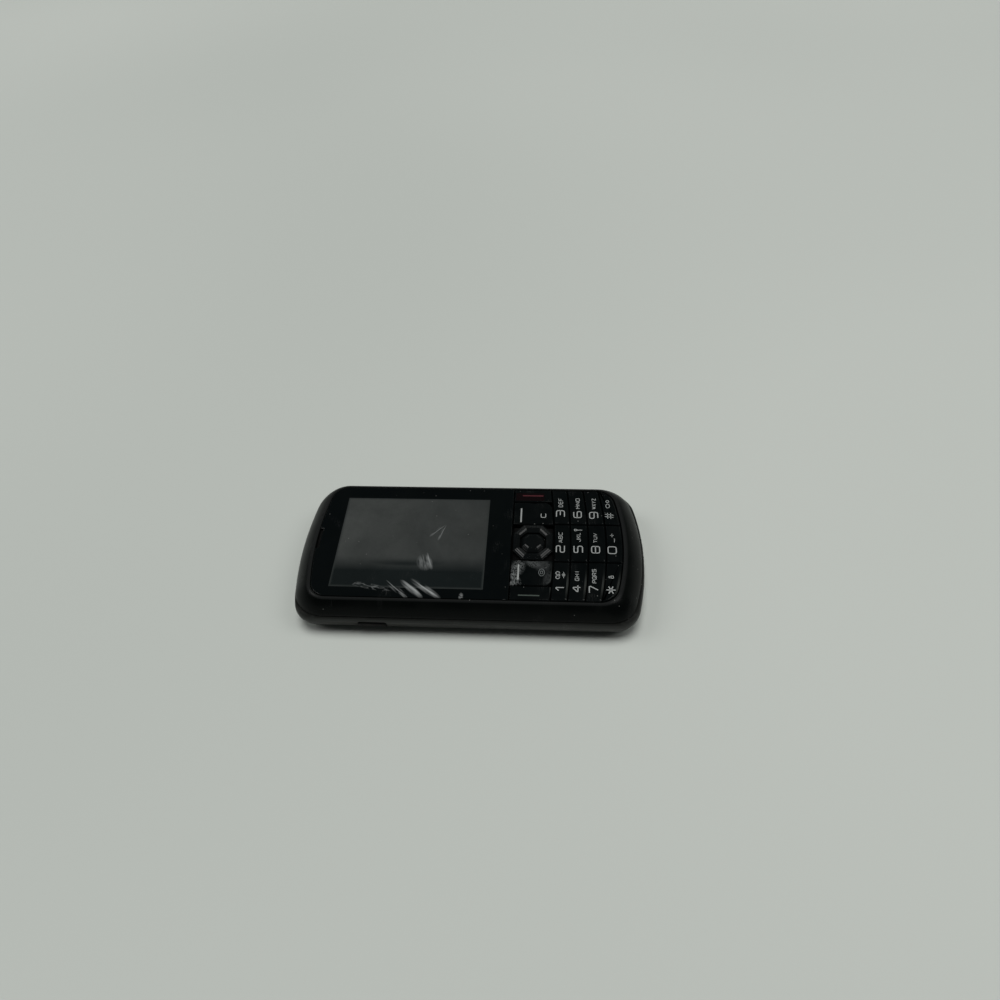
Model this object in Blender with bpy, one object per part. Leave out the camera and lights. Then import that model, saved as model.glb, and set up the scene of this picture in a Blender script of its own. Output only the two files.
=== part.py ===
# Bar phone with a two inch display, a number pad and a five-way navigation key.
# The phone lies on its back: +X is its right side, +Y points to the earpiece end, +Z comes out of the
# display. The origin is the middle of the back. Run with: blender --background --python part.py

import math
from collections import namedtuple

import bpy
import bmesh
import numpy as np
from mathutils import Matrix

MM = 0.001

# Body
BODY_WIDTH = 46.2 * MM
BODY_LENGTH = 98.65 * MM
BODY_THICKNESS = 13.5 * MM
SEAM_HEIGHT = 8.3 * MM
WIDEST_HEIGHT = 6.2 * MM
FLANK_WIDTH = 3.3 * MM
BROW_LENGTH = 5.45 * MM
CHIN_LENGTH = 6.3 * MM
BACK_INSET = 6.3 * MM
SEAM_SIDE_STEP = 0.2 * MM
SEAM_TOP_STEP = 0.35 * MM
SEAM_CHIN_STEP = 0.8 * MM

# How far each end bows out, and the corner radii of the three outlines
WIDEST_TOP_BOW = 2.5 * MM
WIDEST_END_BOW = 3.4 * MM
WIDEST_TOP_RADIUS = 6.0 * MM
WIDEST_END_RADIUS = 7.0 * MM
SEAM_TOP_BOW = 2.6 * MM
SEAM_END_BOW = 4.2 * MM
SEAM_TOP_RADIUS = 9.0 * MM
SEAM_END_RADIUS = 7.4 * MM
FACE_TOP_BOW = 2.1 * MM
FACE_END_BOW = 2.9 * MM
FACE_TOP_RADIUS = 5.0 * MM
FACE_END_RADIUS = 5.6 * MM
LEAST_RADIUS = 0.8 * MM
LEAST_SPACING = 0.02 * MM
PILLOW_POWER = 1.33
SHELL_TOP_SHARE = 0.4
SHELL_SHOULDER_SHARE = 0.85
INSET_RADIUS_SHARE = 0.6

# Clearances and walls
GAP = 0.3 * MM
FINE_GAP = 0.2 * MM
OVERRUN = 1.0 * MM
COVER_WALL = 1.4 * MM
SHELL_WALL = 1.4 * MM
RIM_LIP = 0.35 * MM
RIM_DROP = 0.1 * MM

# Window and display
WINDOW_THICKNESS = 1.1 * MM
WINDOW_BEVEL = 0.15 * MM
DISPLAY_SHIFT = 0.4 * MM
LEDGE_THICKNESS = 1.0 * MM
PANEL_SIDE_MARGIN = 2.3 * MM
PANEL_END_MARGIN = 4.35 * MM
PANEL_THICKNESS = 1.1 * MM
BACKLIGHT_SIDE_MARGIN = 1.3 * MM
BACKLIGHT_END_MARGIN = 2.0 * MM
BACKLIGHT_THICKNESS = 1.4 * MM
BACKLIGHT_RIM = 0.8 * MM
BACKLIGHT_FLOOR = 0.7 * MM
FLEX_WIDTH = 16.0 * MM
FLEX_THICKNESS = 0.15 * MM
FLEX_FOOT = 0.9 * MM
SLOT_LENGTH = 7.0 * MM
SLOT_WIDTH = 0.9 * MM
SLOT_SHOULDER = 1.0 * MM
MESH_THICKNESS = 0.4 * MM

# Key field
KEY_FIELD_LENGTH = 31.2 * MM
NUMBER_PAD_LENGTH = 19.3 * MM
SIDE_COLUMN_WIDTH = 13.17 * MM
FIRST_ROW_HEIGHT = 4.62 * MM
ROW_HEIGHT = 4.95 * MM
FIRST_EDGE_RISE = 0.95 * MM
EDGE_RISE_GAIN = 1.8 * MM
EDGE_RISE_POWER = 2.5
KEY_SKIRT = 1.6 * MM
KEY_BEVEL = 0.25 * MM
KEY_CHAMFER = 0.5 * MM
KEY_CHAMFER_POWER = 3
KEY_SHOULDER = 0.3 * MM
STEM_RADIUS = 1.0 * MM
STEM_FOOT_GAP = 0.35 * MM
CALL_KEY_WIDTH = 4.95 * MM
FUNCTION_CORNER = 2.2 * MM
VALLEY_HALF_WIDTH = 1.9 * MM
VALLEY_DEPTH = 0.22 * MM
ROCKER_STEM_OFFSET = 3.2 * MM
NUMBER_KEYS = [
    ["key_1", "key_2", "key_3"],
    ["key_4", "key_5", "key_6"],
    ["key_7", "key_8", "key_9"],
    ["key_star", "key_0", "key_hash"],
]

# Navigation key
NAV_HALF_WIDTH = 6.1 * MM
NAV_END_MARGIN = 0.45 * MM
NAV_PROUD = 0.45 * MM
NAV_CORNER_SHARE = 0.5
NAV_BEVEL = 1.0 * MM
NAV_SHOULDER = 0.6 * MM
NAV_LAND = 0.9 * MM
NAV_INNER_DROP = 0.4 * MM
OK_HALF_WIDTH = 3.25 * MM
OK_CORNER_SHARE = 0.5
OK_PROUD = 0.35 * MM
OK_BEVEL = 0.35 * MM
OK_DISH = 0.25 * MM
OK_DISH_SHARES = (0.25, 0.5, 0.75)
OK_STEM_RADIUS = 1.3 * MM
NAV_STEM_OFFSET = 4.6 * MM
NAV_STEM_RADIUS = 0.6 * MM
CORNER_ROUND_SHARE = 0.08
CARRIER_THICKNESS = 0.5 * MM
RING_UNDERSIDE_DEPTH = 1.15 * MM
OK_UNDERSIDE_DEPTH = 1.0 * MM

# Board stack
BOARD_TOP = 9.3 * MM
BOARD_THICKNESS = 0.8 * MM
BOARD_INSET = 2.1 * MM
DOME_SHEET_THICKNESS = 0.15 * MM
DOME_SHEET_LIFT = 0.1 * MM
DOME_HEIGHT = 0.2 * MM
DOME_RADIUS = 1.9 * MM
WEB_THICKNESS = 0.4 * MM
WEB_LIFT = 0.95 * MM
WEB_SKIRT = 1.0 * MM
WEB_OVERHANG = 0.35 * MM
WEB_CLEARANCE = 0.4 * MM
DOME_SHEET_INSET = 1.2 * MM
CAN_HEIGHT = 1.2 * MM
CAN_WALL = 0.25 * MM
CAN_WIDTH = 15.5 * MM
CAN_TOP_SPACING = 3.0 * MM
CAN_END_SPACING = 3.6 * MM
SIM_WIDTH = 27.6 * MM
SIM_LENGTH = 16.5 * MM
SIM_HEIGHT = 1.9 * MM
SIM_SPACING = 1.9 * MM
SIM_WALL = 1.1 * MM
SIM_PLATE = 0.35 * MM

# Battery, its bay and the cover
BATTERY_SIDE_MARGIN = 6.1 * MM
BATTERY_THICKNESS = 4.6 * MM
BATTERY_EDGE = 0.6 * MM
PARTITION_THICKNESS = 0.6 * MM
BACK_FLOOR = 1.2 * MM
BACK_RIM = 0.8 * MM
BACK_WALL = 1.2 * MM
BACK_EDGE_STEP = 1.7 * MM
HOOK_LENGTH = 3.0 * MM
HOOK_POST = 0.7 * MM
HOOK_REACH = 1.0 * MM
HOOK_FLANGE = 0.8 * MM
RAIL_THICKNESS = 0.8 * MM
SLIDE_TRAVEL = 6.0 * MM
HOOK_END_SPACING = 8.6 * MM
HOOK_TOP_SPACING = 4.4 * MM
HOOKS_PER_SIDE = 3
THUMB_WIDTH = 14.0 * MM
THUMB_LENGTH = 7.0 * MM
THUMB_DEPTH = 0.5 * MM
THUMB_SPACING = 9.5 * MM
THUMB_RIB = 0.6 * MM
THUMB_RIBS = 3
CONNECTOR_WIDTH = 9.0 * MM
CONNECTOR_DEPTH = 3.3 * MM
CONTACT_WIDTH = 0.9 * MM
CONTACT_REACH = 0.3 * MM
CONTACTS = 4

# Head and tail compartments
HEAD_LENGTH = 30.125 * MM
HEAD_WALL = 2.6 * MM
HEAD_FLOOR = 1.4 * MM
TAIL_LENGTH = 8.925 * MM
TAIL_WALL = 2.5 * MM
TAIL_FLOOR = 3.8 * MM
SPEAKER_WIDTH = 16.0 * MM
SPEAKER_LENGTH = 11.0 * MM
SPEAKER_THICKNESS = 3.4 * MM
SPEAKER_SPACING = 2.6 * MM
SPEAKER_MARGIN = 1.3 * MM
GRILLE_SLOTS = 5
GRILLE_LENGTH = 10.0 * MM
GRILLE_WIDTH = 0.9 * MM
GRILLE_PITCH = 1.7 * MM
CAMERA_SIZE = 8.6 * MM
CAMERA_HEIGHT = 4.4 * MM
CAMERA_SPACING = 2.2 * MM
CAMERA_BARREL = 2.8 * MM
CAMERA_HOLE = 2.4 * MM
CAMERA_GLASS = 3.4 * MM
CAMERA_GLASS_THICKNESS = 0.6 * MM
CAMERA_GLASS_SINK = 0.15 * MM
MOTOR_RADIUS = 2.0 * MM
MOTOR_LENGTH = 8.5 * MM
MOTOR_SIDE_DISTANCE = 6.5 * MM
MOTOR_MARGIN = 3.05 * MM
MOTOR_AXIS_HEIGHT = 3.9 * MM
MOTOR_SHAFT = 0.4 * MM
WEIGHT_LENGTH = 3.2 * MM
WEIGHT_RADIUS = 1.9 * MM
WEIGHT_HUB = 0.9 * MM
EARPIECE_WIDTH = 10.0 * MM
EARPIECE_LENGTH = 3.3 * MM
EARPIECE_HEIGHT = 1.4 * MM
EARPIECE_PORT = 0.8 * MM
MIC_RADIUS = 2.0 * MM
MIC_HEIGHT = 1.2 * MM
MIC_SPACING = 2.9 * MM
MIC_DISTANCE = 5.025 * MM
MIC_HOLE = 0.5 * MM
ANTENNA_SIDE_SPACING = 0.9 * MM
ANTENNA_HEIGHT = 2.5 * MM
ANTENNA_TRACK = 1.2 * MM
ANTENNA_GROOVE = 0.3 * MM
ANTENNA_GROOVES = 4

# Charging port on the left side
PORT_MARGIN = 0.85 * MM
PORT_HEIGHT = 4.4 * MM
RECEPTACLE_WIDTH = 7.0 * MM
RECEPTACLE_HEIGHT = 2.2 * MM
RECEPTACLE_DEPTH = 5.2 * MM
RECEPTACLE_WALL = 0.3 * MM
RECEPTACLE_TONGUE = 0.6 * MM
PORT_COVER_WIDTH = 7.5 * MM
PORT_COVER_HEIGHT = 2.9 * MM
PORT_COVER_PROUD = 0.2 * MM
PORT_COVER_THICKNESS = 0.9 * MM
PORT_COVER_CORNER = 0.5 * MM
PORT_DEPTH = 2.1 * MM
PORT_HINGE_INSET = 0.35 * MM
PORT_HINGE_DEPTH = 0.3 * MM
IO_BOARD_THICKNESS = 0.8 * MM
IO_BOARD_WIDTH = 8.6 * MM
IO_BOARD_LENGTH = 11.0 * MM

# Screws
SCREW_TOP_SIDE_DISTANCE = 11.1 * MM
SCREW_TOP_DISTANCE = 4.725 * MM
SCREW_END_SIDE_DISTANCE = 9.9 * MM
SCREW_END_DISTANCE = 5.225 * MM
SCREW_HEAD_RADIUS = 1.5 * MM
SCREW_HEAD_HEIGHT = 1.1 * MM
SCREW_SHAFT_RADIUS = 0.8 * MM
SCREW_SEAT = 3.9 * MM
SCREW_TIP = 10.6 * MM
SCREW_SOCKET_RADIUS = 0.7 * MM
SCREW_SOCKET_DEPTH = 0.6 * MM
BOSS_RADIUS = 2.3 * MM

# Counts of flats and steps on curved surfaces
CORNER_STEPS = 8
END_STEPS = 12
SECTION_STEPS = 8
ROUND_SIDES = 24
STEM_SIDES = 8
EDGE_STEPS = 5
OCTAGON_STEPS = 3
SOCKET_SIDES = 6
ALMOST_STRAIGHT = 1e-4
SMOOTH_ANGLE = math.radians(30)

# Heights that follow from the sizes above
FACE = BODY_THICKNESS
WINDOW_SEAT = FACE - WINDOW_THICKNESS - FINE_GAP
LEDGE_UNDERSIDE = WINDOW_SEAT - LEDGE_THICKNESS
COVER_FOOT = SEAM_HEIGHT + GAP / 2
SHELL_TOP = SEAM_HEIGHT - GAP / 2
BOARD_BOTTOM = BOARD_TOP - BOARD_THICKNESS
DOME_SHEET_TOP = BOARD_TOP + DOME_SHEET_LIFT + DOME_SHEET_THICKNESS
DOME_TOP = DOME_SHEET_TOP + DOME_HEIGHT
STEM_FOOT = DOME_TOP + STEM_FOOT_GAP
WEB_UNDERSIDE = DOME_SHEET_TOP + WEB_LIFT
WEB_TOP = WEB_UNDERSIDE + WEB_THICKNESS
KEY_UNDERSIDE = FACE - KEY_SHOULDER - KEY_SKIRT
RING_UNDERSIDE = FACE - RING_UNDERSIDE_DEPTH
CARRIER_TOP = RING_UNDERSIDE - GAP - FINE_GAP / 2
CARRIER_UNDERSIDE = CARRIER_TOP - CARRIER_THICKNESS
PARTITION_TOP = BACK_FLOOR + GAP + BATTERY_THICKNESS + FINE_GAP + PARTITION_THICKNESS
BATTERY_FLOOR = BACK_FLOOR + GAP
BAY_CEILING = PARTITION_TOP - PARTITION_THICKNESS
BACK_TOP = BACK_FLOOR + BACK_RIM
SHELL_OVER_BACK = BACK_TOP + GAP

# Ends and sides of the body, and its three outlines
SIDE = BODY_WIDTH / 2
HEAD_END = BODY_LENGTH / 2
TAIL_END = -BODY_LENGTH / 2
Outline = namedtuple("Outline", "half_width top end top_bow end_bow top_radius end_radius")

WIDEST = Outline(
    SIDE,
    HEAD_END,
    TAIL_END,
    WIDEST_TOP_BOW,
    WIDEST_END_BOW,
    WIDEST_TOP_RADIUS,
    WIDEST_END_RADIUS,
)
SEAM = Outline(
    SIDE - SEAM_SIDE_STEP,
    HEAD_END - SEAM_TOP_STEP,
    TAIL_END + SEAM_CHIN_STEP,
    SEAM_TOP_BOW,
    SEAM_END_BOW,
    SEAM_TOP_RADIUS,
    SEAM_END_RADIUS,
)
OPENING = Outline(
    SIDE - FLANK_WIDTH,
    HEAD_END - BROW_LENGTH,
    TAIL_END + CHIN_LENGTH,
    FACE_TOP_BOW,
    FACE_END_BOW,
    FACE_TOP_RADIUS,
    FACE_END_RADIUS,
)

# Places that follow from the two ends and the sides of the body
WINDOW_END = OPENING.end + KEY_FIELD_LENGTH
WINDOW_LENGTH = OPENING.top - WINDOW_END
FACE_SPLIT = WINDOW_END + GAP / 2
KEY_TOP_EDGE = WINDOW_END - GAP / 2
PAD_TOP = OPENING.end + NUMBER_PAD_LENGTH
NAV_CENTRE = (WINDOW_END + PAD_TOP) / 2
NAV_HALF_LENGTH = (WINDOW_END - PAD_TOP) / 2 - NAV_END_MARGIN
COLUMN_SPLIT = OPENING.half_width - SIDE_COLUMN_WIDTH
CALL_KEY_SPLIT = OPENING.half_width - CALL_KEY_WIDTH
FUNCTION_SPLIT = NAV_HALF_WIDTH + GAP
DISPLAY_CENTRE = (OPENING.top + WINDOW_END) / 2 + DISPLAY_SHIFT
PANEL_WIDTH = 2 * (OPENING.half_width - PANEL_SIDE_MARGIN)
PANEL_LENGTH = WINDOW_LENGTH - 2 * PANEL_END_MARGIN
BACKLIGHT_WIDTH = PANEL_WIDTH + 2 * BACKLIGHT_SIDE_MARGIN
BACKLIGHT_LENGTH = PANEL_LENGTH + 2 * BACKLIGHT_END_MARGIN
BACKLIGHT_TOP = DISPLAY_CENTRE + BACKLIGHT_LENGTH / 2
BACKLIGHT_END = DISPLAY_CENTRE - BACKLIGHT_LENGTH / 2
EARPIECE_Y = BACKLIGHT_TOP + GAP + EARPIECE_LENGTH / 2
WEB_TOP_EDGE = BACKLIGHT_END - FLEX_FOOT - 3 * GAP
HEAD_START = HEAD_END - HEAD_LENGTH
TAIL_START = TAIL_END + TAIL_LENGTH
BACK_EDGE = HEAD_START - BACK_EDGE_STEP
CONNECTOR_FACE = HEAD_START - HEAD_WALL - GAP - CONNECTOR_DEPTH
BATTERY_WIDTH = 2 * (SIDE - BATTERY_SIDE_MARGIN)
BATTERY_TOP = CONNECTOR_FACE - 2 * GAP
BATTERY_END = TAIL_START + TAIL_WALL + GAP
SIM_CENTRE = BATTERY_TOP - SIM_SPACING - SIM_LENGTH / 2
CAN_TOP = SIM_CENTRE - SIM_LENGTH / 2 - CAN_TOP_SPACING
CAN_LENGTH = CAN_TOP - BATTERY_END - CAN_END_SPACING
HOOK_FIRST = BATTERY_END + HOOK_END_SPACING
HOOK_LAST = BATTERY_TOP - HOOK_TOP_SPACING
THUMB_CENTRE = BACK_EDGE - THUMB_SPACING
MOTOR_X = SIDE - MOTOR_SIDE_DISTANCE
MOTOR_Y = HEAD_START + MOTOR_MARGIN + MOTOR_LENGTH / 2
SPEAKER_X = MOTOR_X - MOTOR_RADIUS - SPEAKER_SPACING - SPEAKER_WIDTH / 2
SPEAKER_Y = HEAD_START + SPEAKER_MARGIN + SPEAKER_LENGTH / 2
CAMERA_Y = SPEAKER_Y + (SPEAKER_LENGTH + CAMERA_SIZE) / 2 + CAMERA_SPACING
PORT_Y = HEAD_START + PORT_MARGIN + IO_BOARD_LENGTH / 2
MIC_Y = TAIL_END + MIC_DISTANCE
SCREW_TOP_X = SIDE - SCREW_TOP_SIDE_DISTANCE
SCREW_TOP_Y = HEAD_END - SCREW_TOP_DISTANCE
SCREW_END_X = SIDE - SCREW_END_SIDE_DISTANCE
SCREW_END_Y = TAIL_END + SCREW_END_DISTANCE
MIC_X = SCREW_END_X - BOSS_RADIUS - MIC_SPACING - MIC_RADIUS
ANTENNA_WIDTH = 2 * (SCREW_END_X - BOSS_RADIUS - ANTENNA_SIDE_SPACING)

# Outlines


def grow(outline, distance, radius_share=1.0):
    """The outline moved outwards by a distance, or inwards if it is negative."""
    radii = [
        max(radius + distance * radius_share, LEAST_RADIUS)
        for radius in (outline.top_radius, outline.end_radius)
    ]
    return Outline(
        outline.half_width + distance,
        outline.top + distance,
        outline.end - distance,
        outline.top_bow,
        outline.end_bow,
        radii[0],
        radii[1],
    )


def blend(first, second, share):
    """The outline between two others, at a share of the way."""
    return Outline(*(a + (b - a) * share for a, b in zip(first, second)))


def end_points(half_width, bow, radius):
    """One bowed end from right to left: corner arc, long arc, corner arc. Its apex is at zero."""
    bow_radius = (half_width ** 2 + bow ** 2) / (2 * bow)
    centre_x = half_width - radius
    centre_y = math.sqrt((bow_radius - radius) ** 2 - centre_x ** 2) - bow_radius
    join_angle = math.atan2(centre_y + bow_radius, centre_x)
    points = []
    for angle in np.linspace(0, join_angle, CORNER_STEPS + 1):
        points.append((centre_x + radius * math.cos(angle), centre_y + radius * math.sin(angle)))
    for angle in np.linspace(join_angle, math.pi - join_angle, END_STEPS + 1)[1:-1]:
        points.append((bow_radius * math.cos(angle), bow_radius * (math.sin(angle) - 1)))
    for angle in np.linspace(math.pi - join_angle, math.pi, CORNER_STEPS + 1):
        points.append((radius * math.cos(angle) - centre_x, centre_y + radius * math.sin(angle)))
    return np.array(points)


def outline_points(outline):
    """The outline as points, anticlockwise from the right end of its top."""
    top = end_points(outline.half_width, outline.top_bow, outline.top_radius)
    end = end_points(outline.half_width, outline.end_bow, outline.end_radius)
    end[:, 1] *= -1
    return np.vstack([top + (0, outline.top), end[::-1] + (0, outline.end)])


def ring(points, height):
    """A flat outline placed at one height."""
    points = np.asarray(points)
    return np.column_stack([points, np.full(len(points), height)])


def inset(points, width_of):
    """A closed outline moved inwards. Each side moves by the width that its outward normal gets."""
    points = np.asarray(points, dtype=float)
    sides = np.roll(points, -1, axis=0) - points
    sides /= np.linalg.norm(sides, axis=1)[:, None]
    normals = np.column_stack([sides[:, 1], -sides[:, 0]])
    widths = np.array([width_of(normal) for normal in normals])
    moved = []
    for i in range(len(points)):
        before = normals[i - 1]
        after = normals[i]
        system = np.array([before, after])
        reach = np.array([widths[i - 1], widths[i]])
        if abs(np.linalg.det(system)) < ALMOST_STRAIGHT:
            moved.append(points[i] - after * reach.mean())
        else:
            moved.append(points[i] - np.linalg.solve(system, reach))
    return np.array(moved)


def clipped(points, boundary):
    """The part of an anticlockwise outline inside a convex anticlockwise boundary."""
    points = [np.array(point, dtype=float) for point in points]
    for start, finish in zip(boundary, np.roll(boundary, -1, axis=0)):
        side = finish - start
        depths = [side[0] * (p[1] - start[1]) - side[1] * (p[0] - start[0]) for p in points]
        kept = []
        for i, point in enumerate(points):
            if (depths[i] < 0) != (depths[i - 1] < 0):
                share = depths[i - 1] / (depths[i - 1] - depths[i])
                kept.append(points[i - 1] + (point - points[i - 1]) * share)
            if depths[i] >= 0:
                kept.append(point)
        points = kept
    spaced = [p for i, p in enumerate(points) if np.linalg.norm(p - points[i - 1]) > LEAST_SPACING]
    return np.array(spaced)


def rounded_corners(corners, radii, steps=EDGE_STEPS):
    """A convex outline with an arc at each corner. A radius of zero keeps the corner sharp."""
    corners = np.asarray(corners, dtype=float)
    points = []
    for i, corner in enumerate(corners):
        radius = radii[i]
        if radius == 0:
            points.append(corner)
            continue
        before = corners[i - 1] - corner
        after = corners[(i + 1) % len(corners)] - corner
        before /= np.linalg.norm(before)
        after /= np.linalg.norm(after)
        half_angle = math.acos(np.clip(before @ after, -1, 1)) / 2
        middle = (before + after) / np.linalg.norm(before + after)
        centre = corner + middle * radius / math.sin(half_angle)
        start = corner + before * radius / math.tan(half_angle) - centre
        finish = corner + after * radius / math.tan(half_angle) - centre
        for step in range(steps + 1):
            turn = math.pi - 2 * half_angle
            share = step / steps
            arm = start * math.sin((1 - share) * turn) + finish * math.sin(share * turn)
            points.append(centre + arm / math.sin(turn))
    return np.array(points)


def rectangle(x0, x1, y0, y1, radius):
    """A rectangle, with one radius at all four corners."""
    corners = [(x1, y1), (x0, y1), (x0, y0), (x1, y0)]
    return rounded_corners(corners, [radius] * len(corners))


def circle(x, y, radius, sides=ROUND_SIDES):
    """A circle as a regular outline."""
    angles = np.arange(sides) * 2 * math.pi / sides
    return np.column_stack([x + radius * np.cos(angles), y + radius * np.sin(angles)])


def octagon(half_width, half_length, corner_share, corner_radius):
    """An eight-sided outline about the origin. Its slanted sides take a share of each half."""
    x = half_width * (1 - corner_share)
    y = half_length * (1 - corner_share)
    corners = [
        (half_width, -y),
        (half_width, y),
        (x, half_length),
        (-x, half_length),
        (-half_width, y),
        (-half_width, -y),
        (-x, -half_length),
        (x, -half_length),
    ]
    return rounded_corners(corners, [corner_radius] * len(corners), steps=OCTAGON_STEPS)


# Solids


def material(name, colour, roughness, metallic=0.0):
    """A Principled material with one colour."""
    made = bpy.data.materials.new(name)
    made.use_nodes = True
    shader = made.node_tree.nodes["Principled BSDF"]
    shader.inputs["Base Color"].default_value = (*colour, 1.0)
    shader.inputs["Roughness"].default_value = roughness
    shader.inputs["Metallic"].default_value = metallic
    return made


def solid(vertices, faces):
    """An object from points and faces, with its normals turned outwards."""
    mesh = bpy.data.meshes.new("solid")
    mesh.from_pydata([tuple(map(float, v)) for v in vertices], [], [list(f) for f in faces])
    shape = bmesh.new()
    shape.from_mesh(mesh)
    bmesh.ops.recalc_face_normals(shape, faces=shape.faces)
    shape.to_mesh(mesh)
    shape.free()
    made = bpy.data.objects.new("solid", mesh)
    bpy.context.scene.collection.objects.link(made)
    return made


def loft(rings, closed=False):
    """A solid through rings of equally many points, capped at both ends or closed on itself."""
    count = len(rings[0])
    faces = []
    spans = len(rings) if closed else len(rings) - 1
    for level in range(spans):
        lower = level * count
        upper = (level + 1) % len(rings) * count
        for i in range(count):
            j = (i + 1) % count
            faces.append((lower + i, lower + j, upper + j, upper + i))
    if not closed:
        faces.append(range(count))
        faces.append(range((len(rings) - 1) * count, len(rings) * count))
    return solid(np.vstack(rings), faces)


def slab(points, bottom, top):
    """A flat outline raised into a plate."""
    return loft([ring(points, bottom), ring(points, top)])


def block(x0, x1, y0, y1, z0, z1):
    """A rectangular block between two corners."""
    return slab([(x1, y1), (x0, y1), (x0, y0), (x1, y0)], z0, z1)


def centred_block(x, y, width, length, bottom, top):
    """A rectangular block about a place in plan."""
    return block(x - width / 2, x + width / 2, y - length / 2, y + length / 2, bottom, top)


def disc(x, y, radius, bottom, top, sides=ROUND_SIDES):
    """An upright cylinder."""
    return slab(circle(x, y, radius, sides), bottom, top)


def turned_along_y(x, z, radius, y0, y1, sides=ROUND_SIDES):
    """A cylinder along Y."""
    flat = circle(x, z, radius, sides)
    rings = [np.column_stack([flat[:, 0], np.full(sides, y), flat[:, 1]]) for y in (y0, y1)]
    return loft(rings)


def combine(target, others, operation):
    """Cuts, joins or intersects solids in turn, and removes those that were used up."""
    for other in others:
        step = target.modifiers.new("combine", "BOOLEAN")
        step.operation = operation
        step.solver = "EXACT"
        step.object = other
        graph = bpy.context.evaluated_depsgraph_get()
        mesh = bpy.data.meshes.new_from_object(target.evaluated_get(graph))
        target.modifiers.clear()
        target.data = mesh
        bpy.data.objects.remove(other)
    return target


def cut(target, *others):
    return combine(target, others, "DIFFERENCE")


def join(target, *others):
    return combine(target, others, "UNION")


def keep_common(target, other):
    return combine(target, [other], "INTERSECT")


def piece(name, shape, look, smooth_angle=SMOOTH_ANGLE, origin=(0, 0, 0)):
    """Names a finished solid, gives it its material and puts its origin on its joint."""
    shape.name = name
    shape.data.name = name
    shape.data.materials.clear()
    shape.data.materials.append(look)
    shape.data.shade_smooth()
    shape.data.set_sharp_from_angle(angle=smooth_angle)
    shape.data.transform(Matrix.Translation(origin).inverted())
    shape.location = origin
    return shape


# Body sections


def cover_section():
    """Heights and outlines of the front cover's pillow, from its lip down to the seam."""
    levels = []
    for angle in np.linspace(0, math.pi / 2, SECTION_STEPS + 1):
        spread = math.sin(angle) ** (2 / PILLOW_POWER)
        rise = math.cos(angle) ** (2 / PILLOW_POWER)
        height = COVER_FOOT + (FACE - RIM_DROP - COVER_FOOT) * rise
        levels.append((height, blend(grow(OPENING, RIM_LIP), SEAM, spread)))
    return levels


def shell_section():
    """Heights and outlines of the rear shell, from the seam down to the flat of the back."""
    levels = [
        (SHELL_TOP, blend(SEAM, WIDEST, SHELL_TOP_SHARE)),
        ((SHELL_TOP + WIDEST_HEIGHT) / 2, blend(SEAM, WIDEST, SHELL_SHOULDER_SHARE)),
    ]
    for angle in np.linspace(0, math.pi / 2, SECTION_STEPS + 1):
        height = WIDEST_HEIGHT * (1 - math.sin(angle))
        shrink = BACK_INSET * (1 - math.cos(angle))
        levels.append((height, grow(WIDEST, -shrink, INSET_RADIUS_SHARE)))
    return levels


def level_at(levels, height):
    """The outline of a section at one height, between its levels."""
    for (high, upper), (low, lower) in zip(levels, levels[1:]):
        if low <= height <= high:
            return blend(upper, lower, (high - height) / (high - low))
    return levels[0][1] if height > levels[0][0] else levels[-1][1]


def section_loft(levels, wall, bottom, top):
    """The solid inside a section, a wall's width in from its skin, between two heights."""
    heights = [top] + [height for height, _ in levels if bottom < height < top] + [bottom]
    rings = []
    for height in heights:
        outline = grow(level_at(levels, height), -wall)
        rings.append(ring(outline_points(outline), height))
    return loft(rings)


COVER_LEVELS = cover_section()
SHELL_LEVELS = shell_section()
SCREW_PLACES = [
    (-SCREW_TOP_X, SCREW_TOP_Y),
    (SCREW_TOP_X, SCREW_TOP_Y),
    (-SCREW_END_X, SCREW_END_Y),
    (SCREW_END_X, SCREW_END_Y),
]


def all_plan(y0, y1, z0, z1):
    """A block wider than the body, between two places along it."""
    return block(-BODY_WIDTH, BODY_WIDTH, y0, y1, z0, z1)


# Front cover: pillow shell, ledge under the window, bars, bosses and openings


def make_front_cover(look):
    rings = [ring(outline_points(outline), height) for height, outline in COVER_LEVELS]
    cover = loft(rings)
    cavity = section_loft(COVER_LEVELS, COVER_WALL, COVER_FOOT - OVERRUN, LEDGE_UNDERSIDE)
    boss_foot = BOARD_TOP + GAP
    for x, y in SCREW_PLACES:
        cut(cavity, disc(x, y, BOSS_RADIUS, boss_foot, FACE))
    cut(cover, cavity)
    face = outline_points(OPENING)
    cut(cover, slab(face, WINDOW_SEAT, FACE + OVERRUN))
    keys = slab(face, LEDGE_UNDERSIDE - OVERRUN, WINDOW_SEAT + FINE_GAP)
    keep_common(keys, all_plan(-BODY_LENGTH, FACE_SPLIT, 0, FACE + OVERRUN))
    cut(cover, keys)
    panel_room = PANEL_WIDTH + 2 * GAP, PANEL_LENGTH + 2 * GAP
    cut(cover, centred_block(0, DISPLAY_CENTRE, *panel_room, LEDGE_UNDERSIDE - OVERRUN, FACE))
    slot_y = OPENING.top - GAP - SLOT_WIDTH / 2
    slot_length = SLOT_LENGTH - 2 * SLOT_SHOULDER
    cut(cover, centred_block(0, slot_y, slot_length, SLOT_WIDTH, LEDGE_UNDERSIDE - OVERRUN, FACE))
    for x, y in SCREW_PLACES:
        cut(cover, disc(x, y, SCREW_SHAFT_RADIUS + FINE_GAP, BOARD_TOP, SCREW_TIP + FINE_GAP, STEM_SIDES))
    return piece("front_cover", cover, look)


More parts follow.
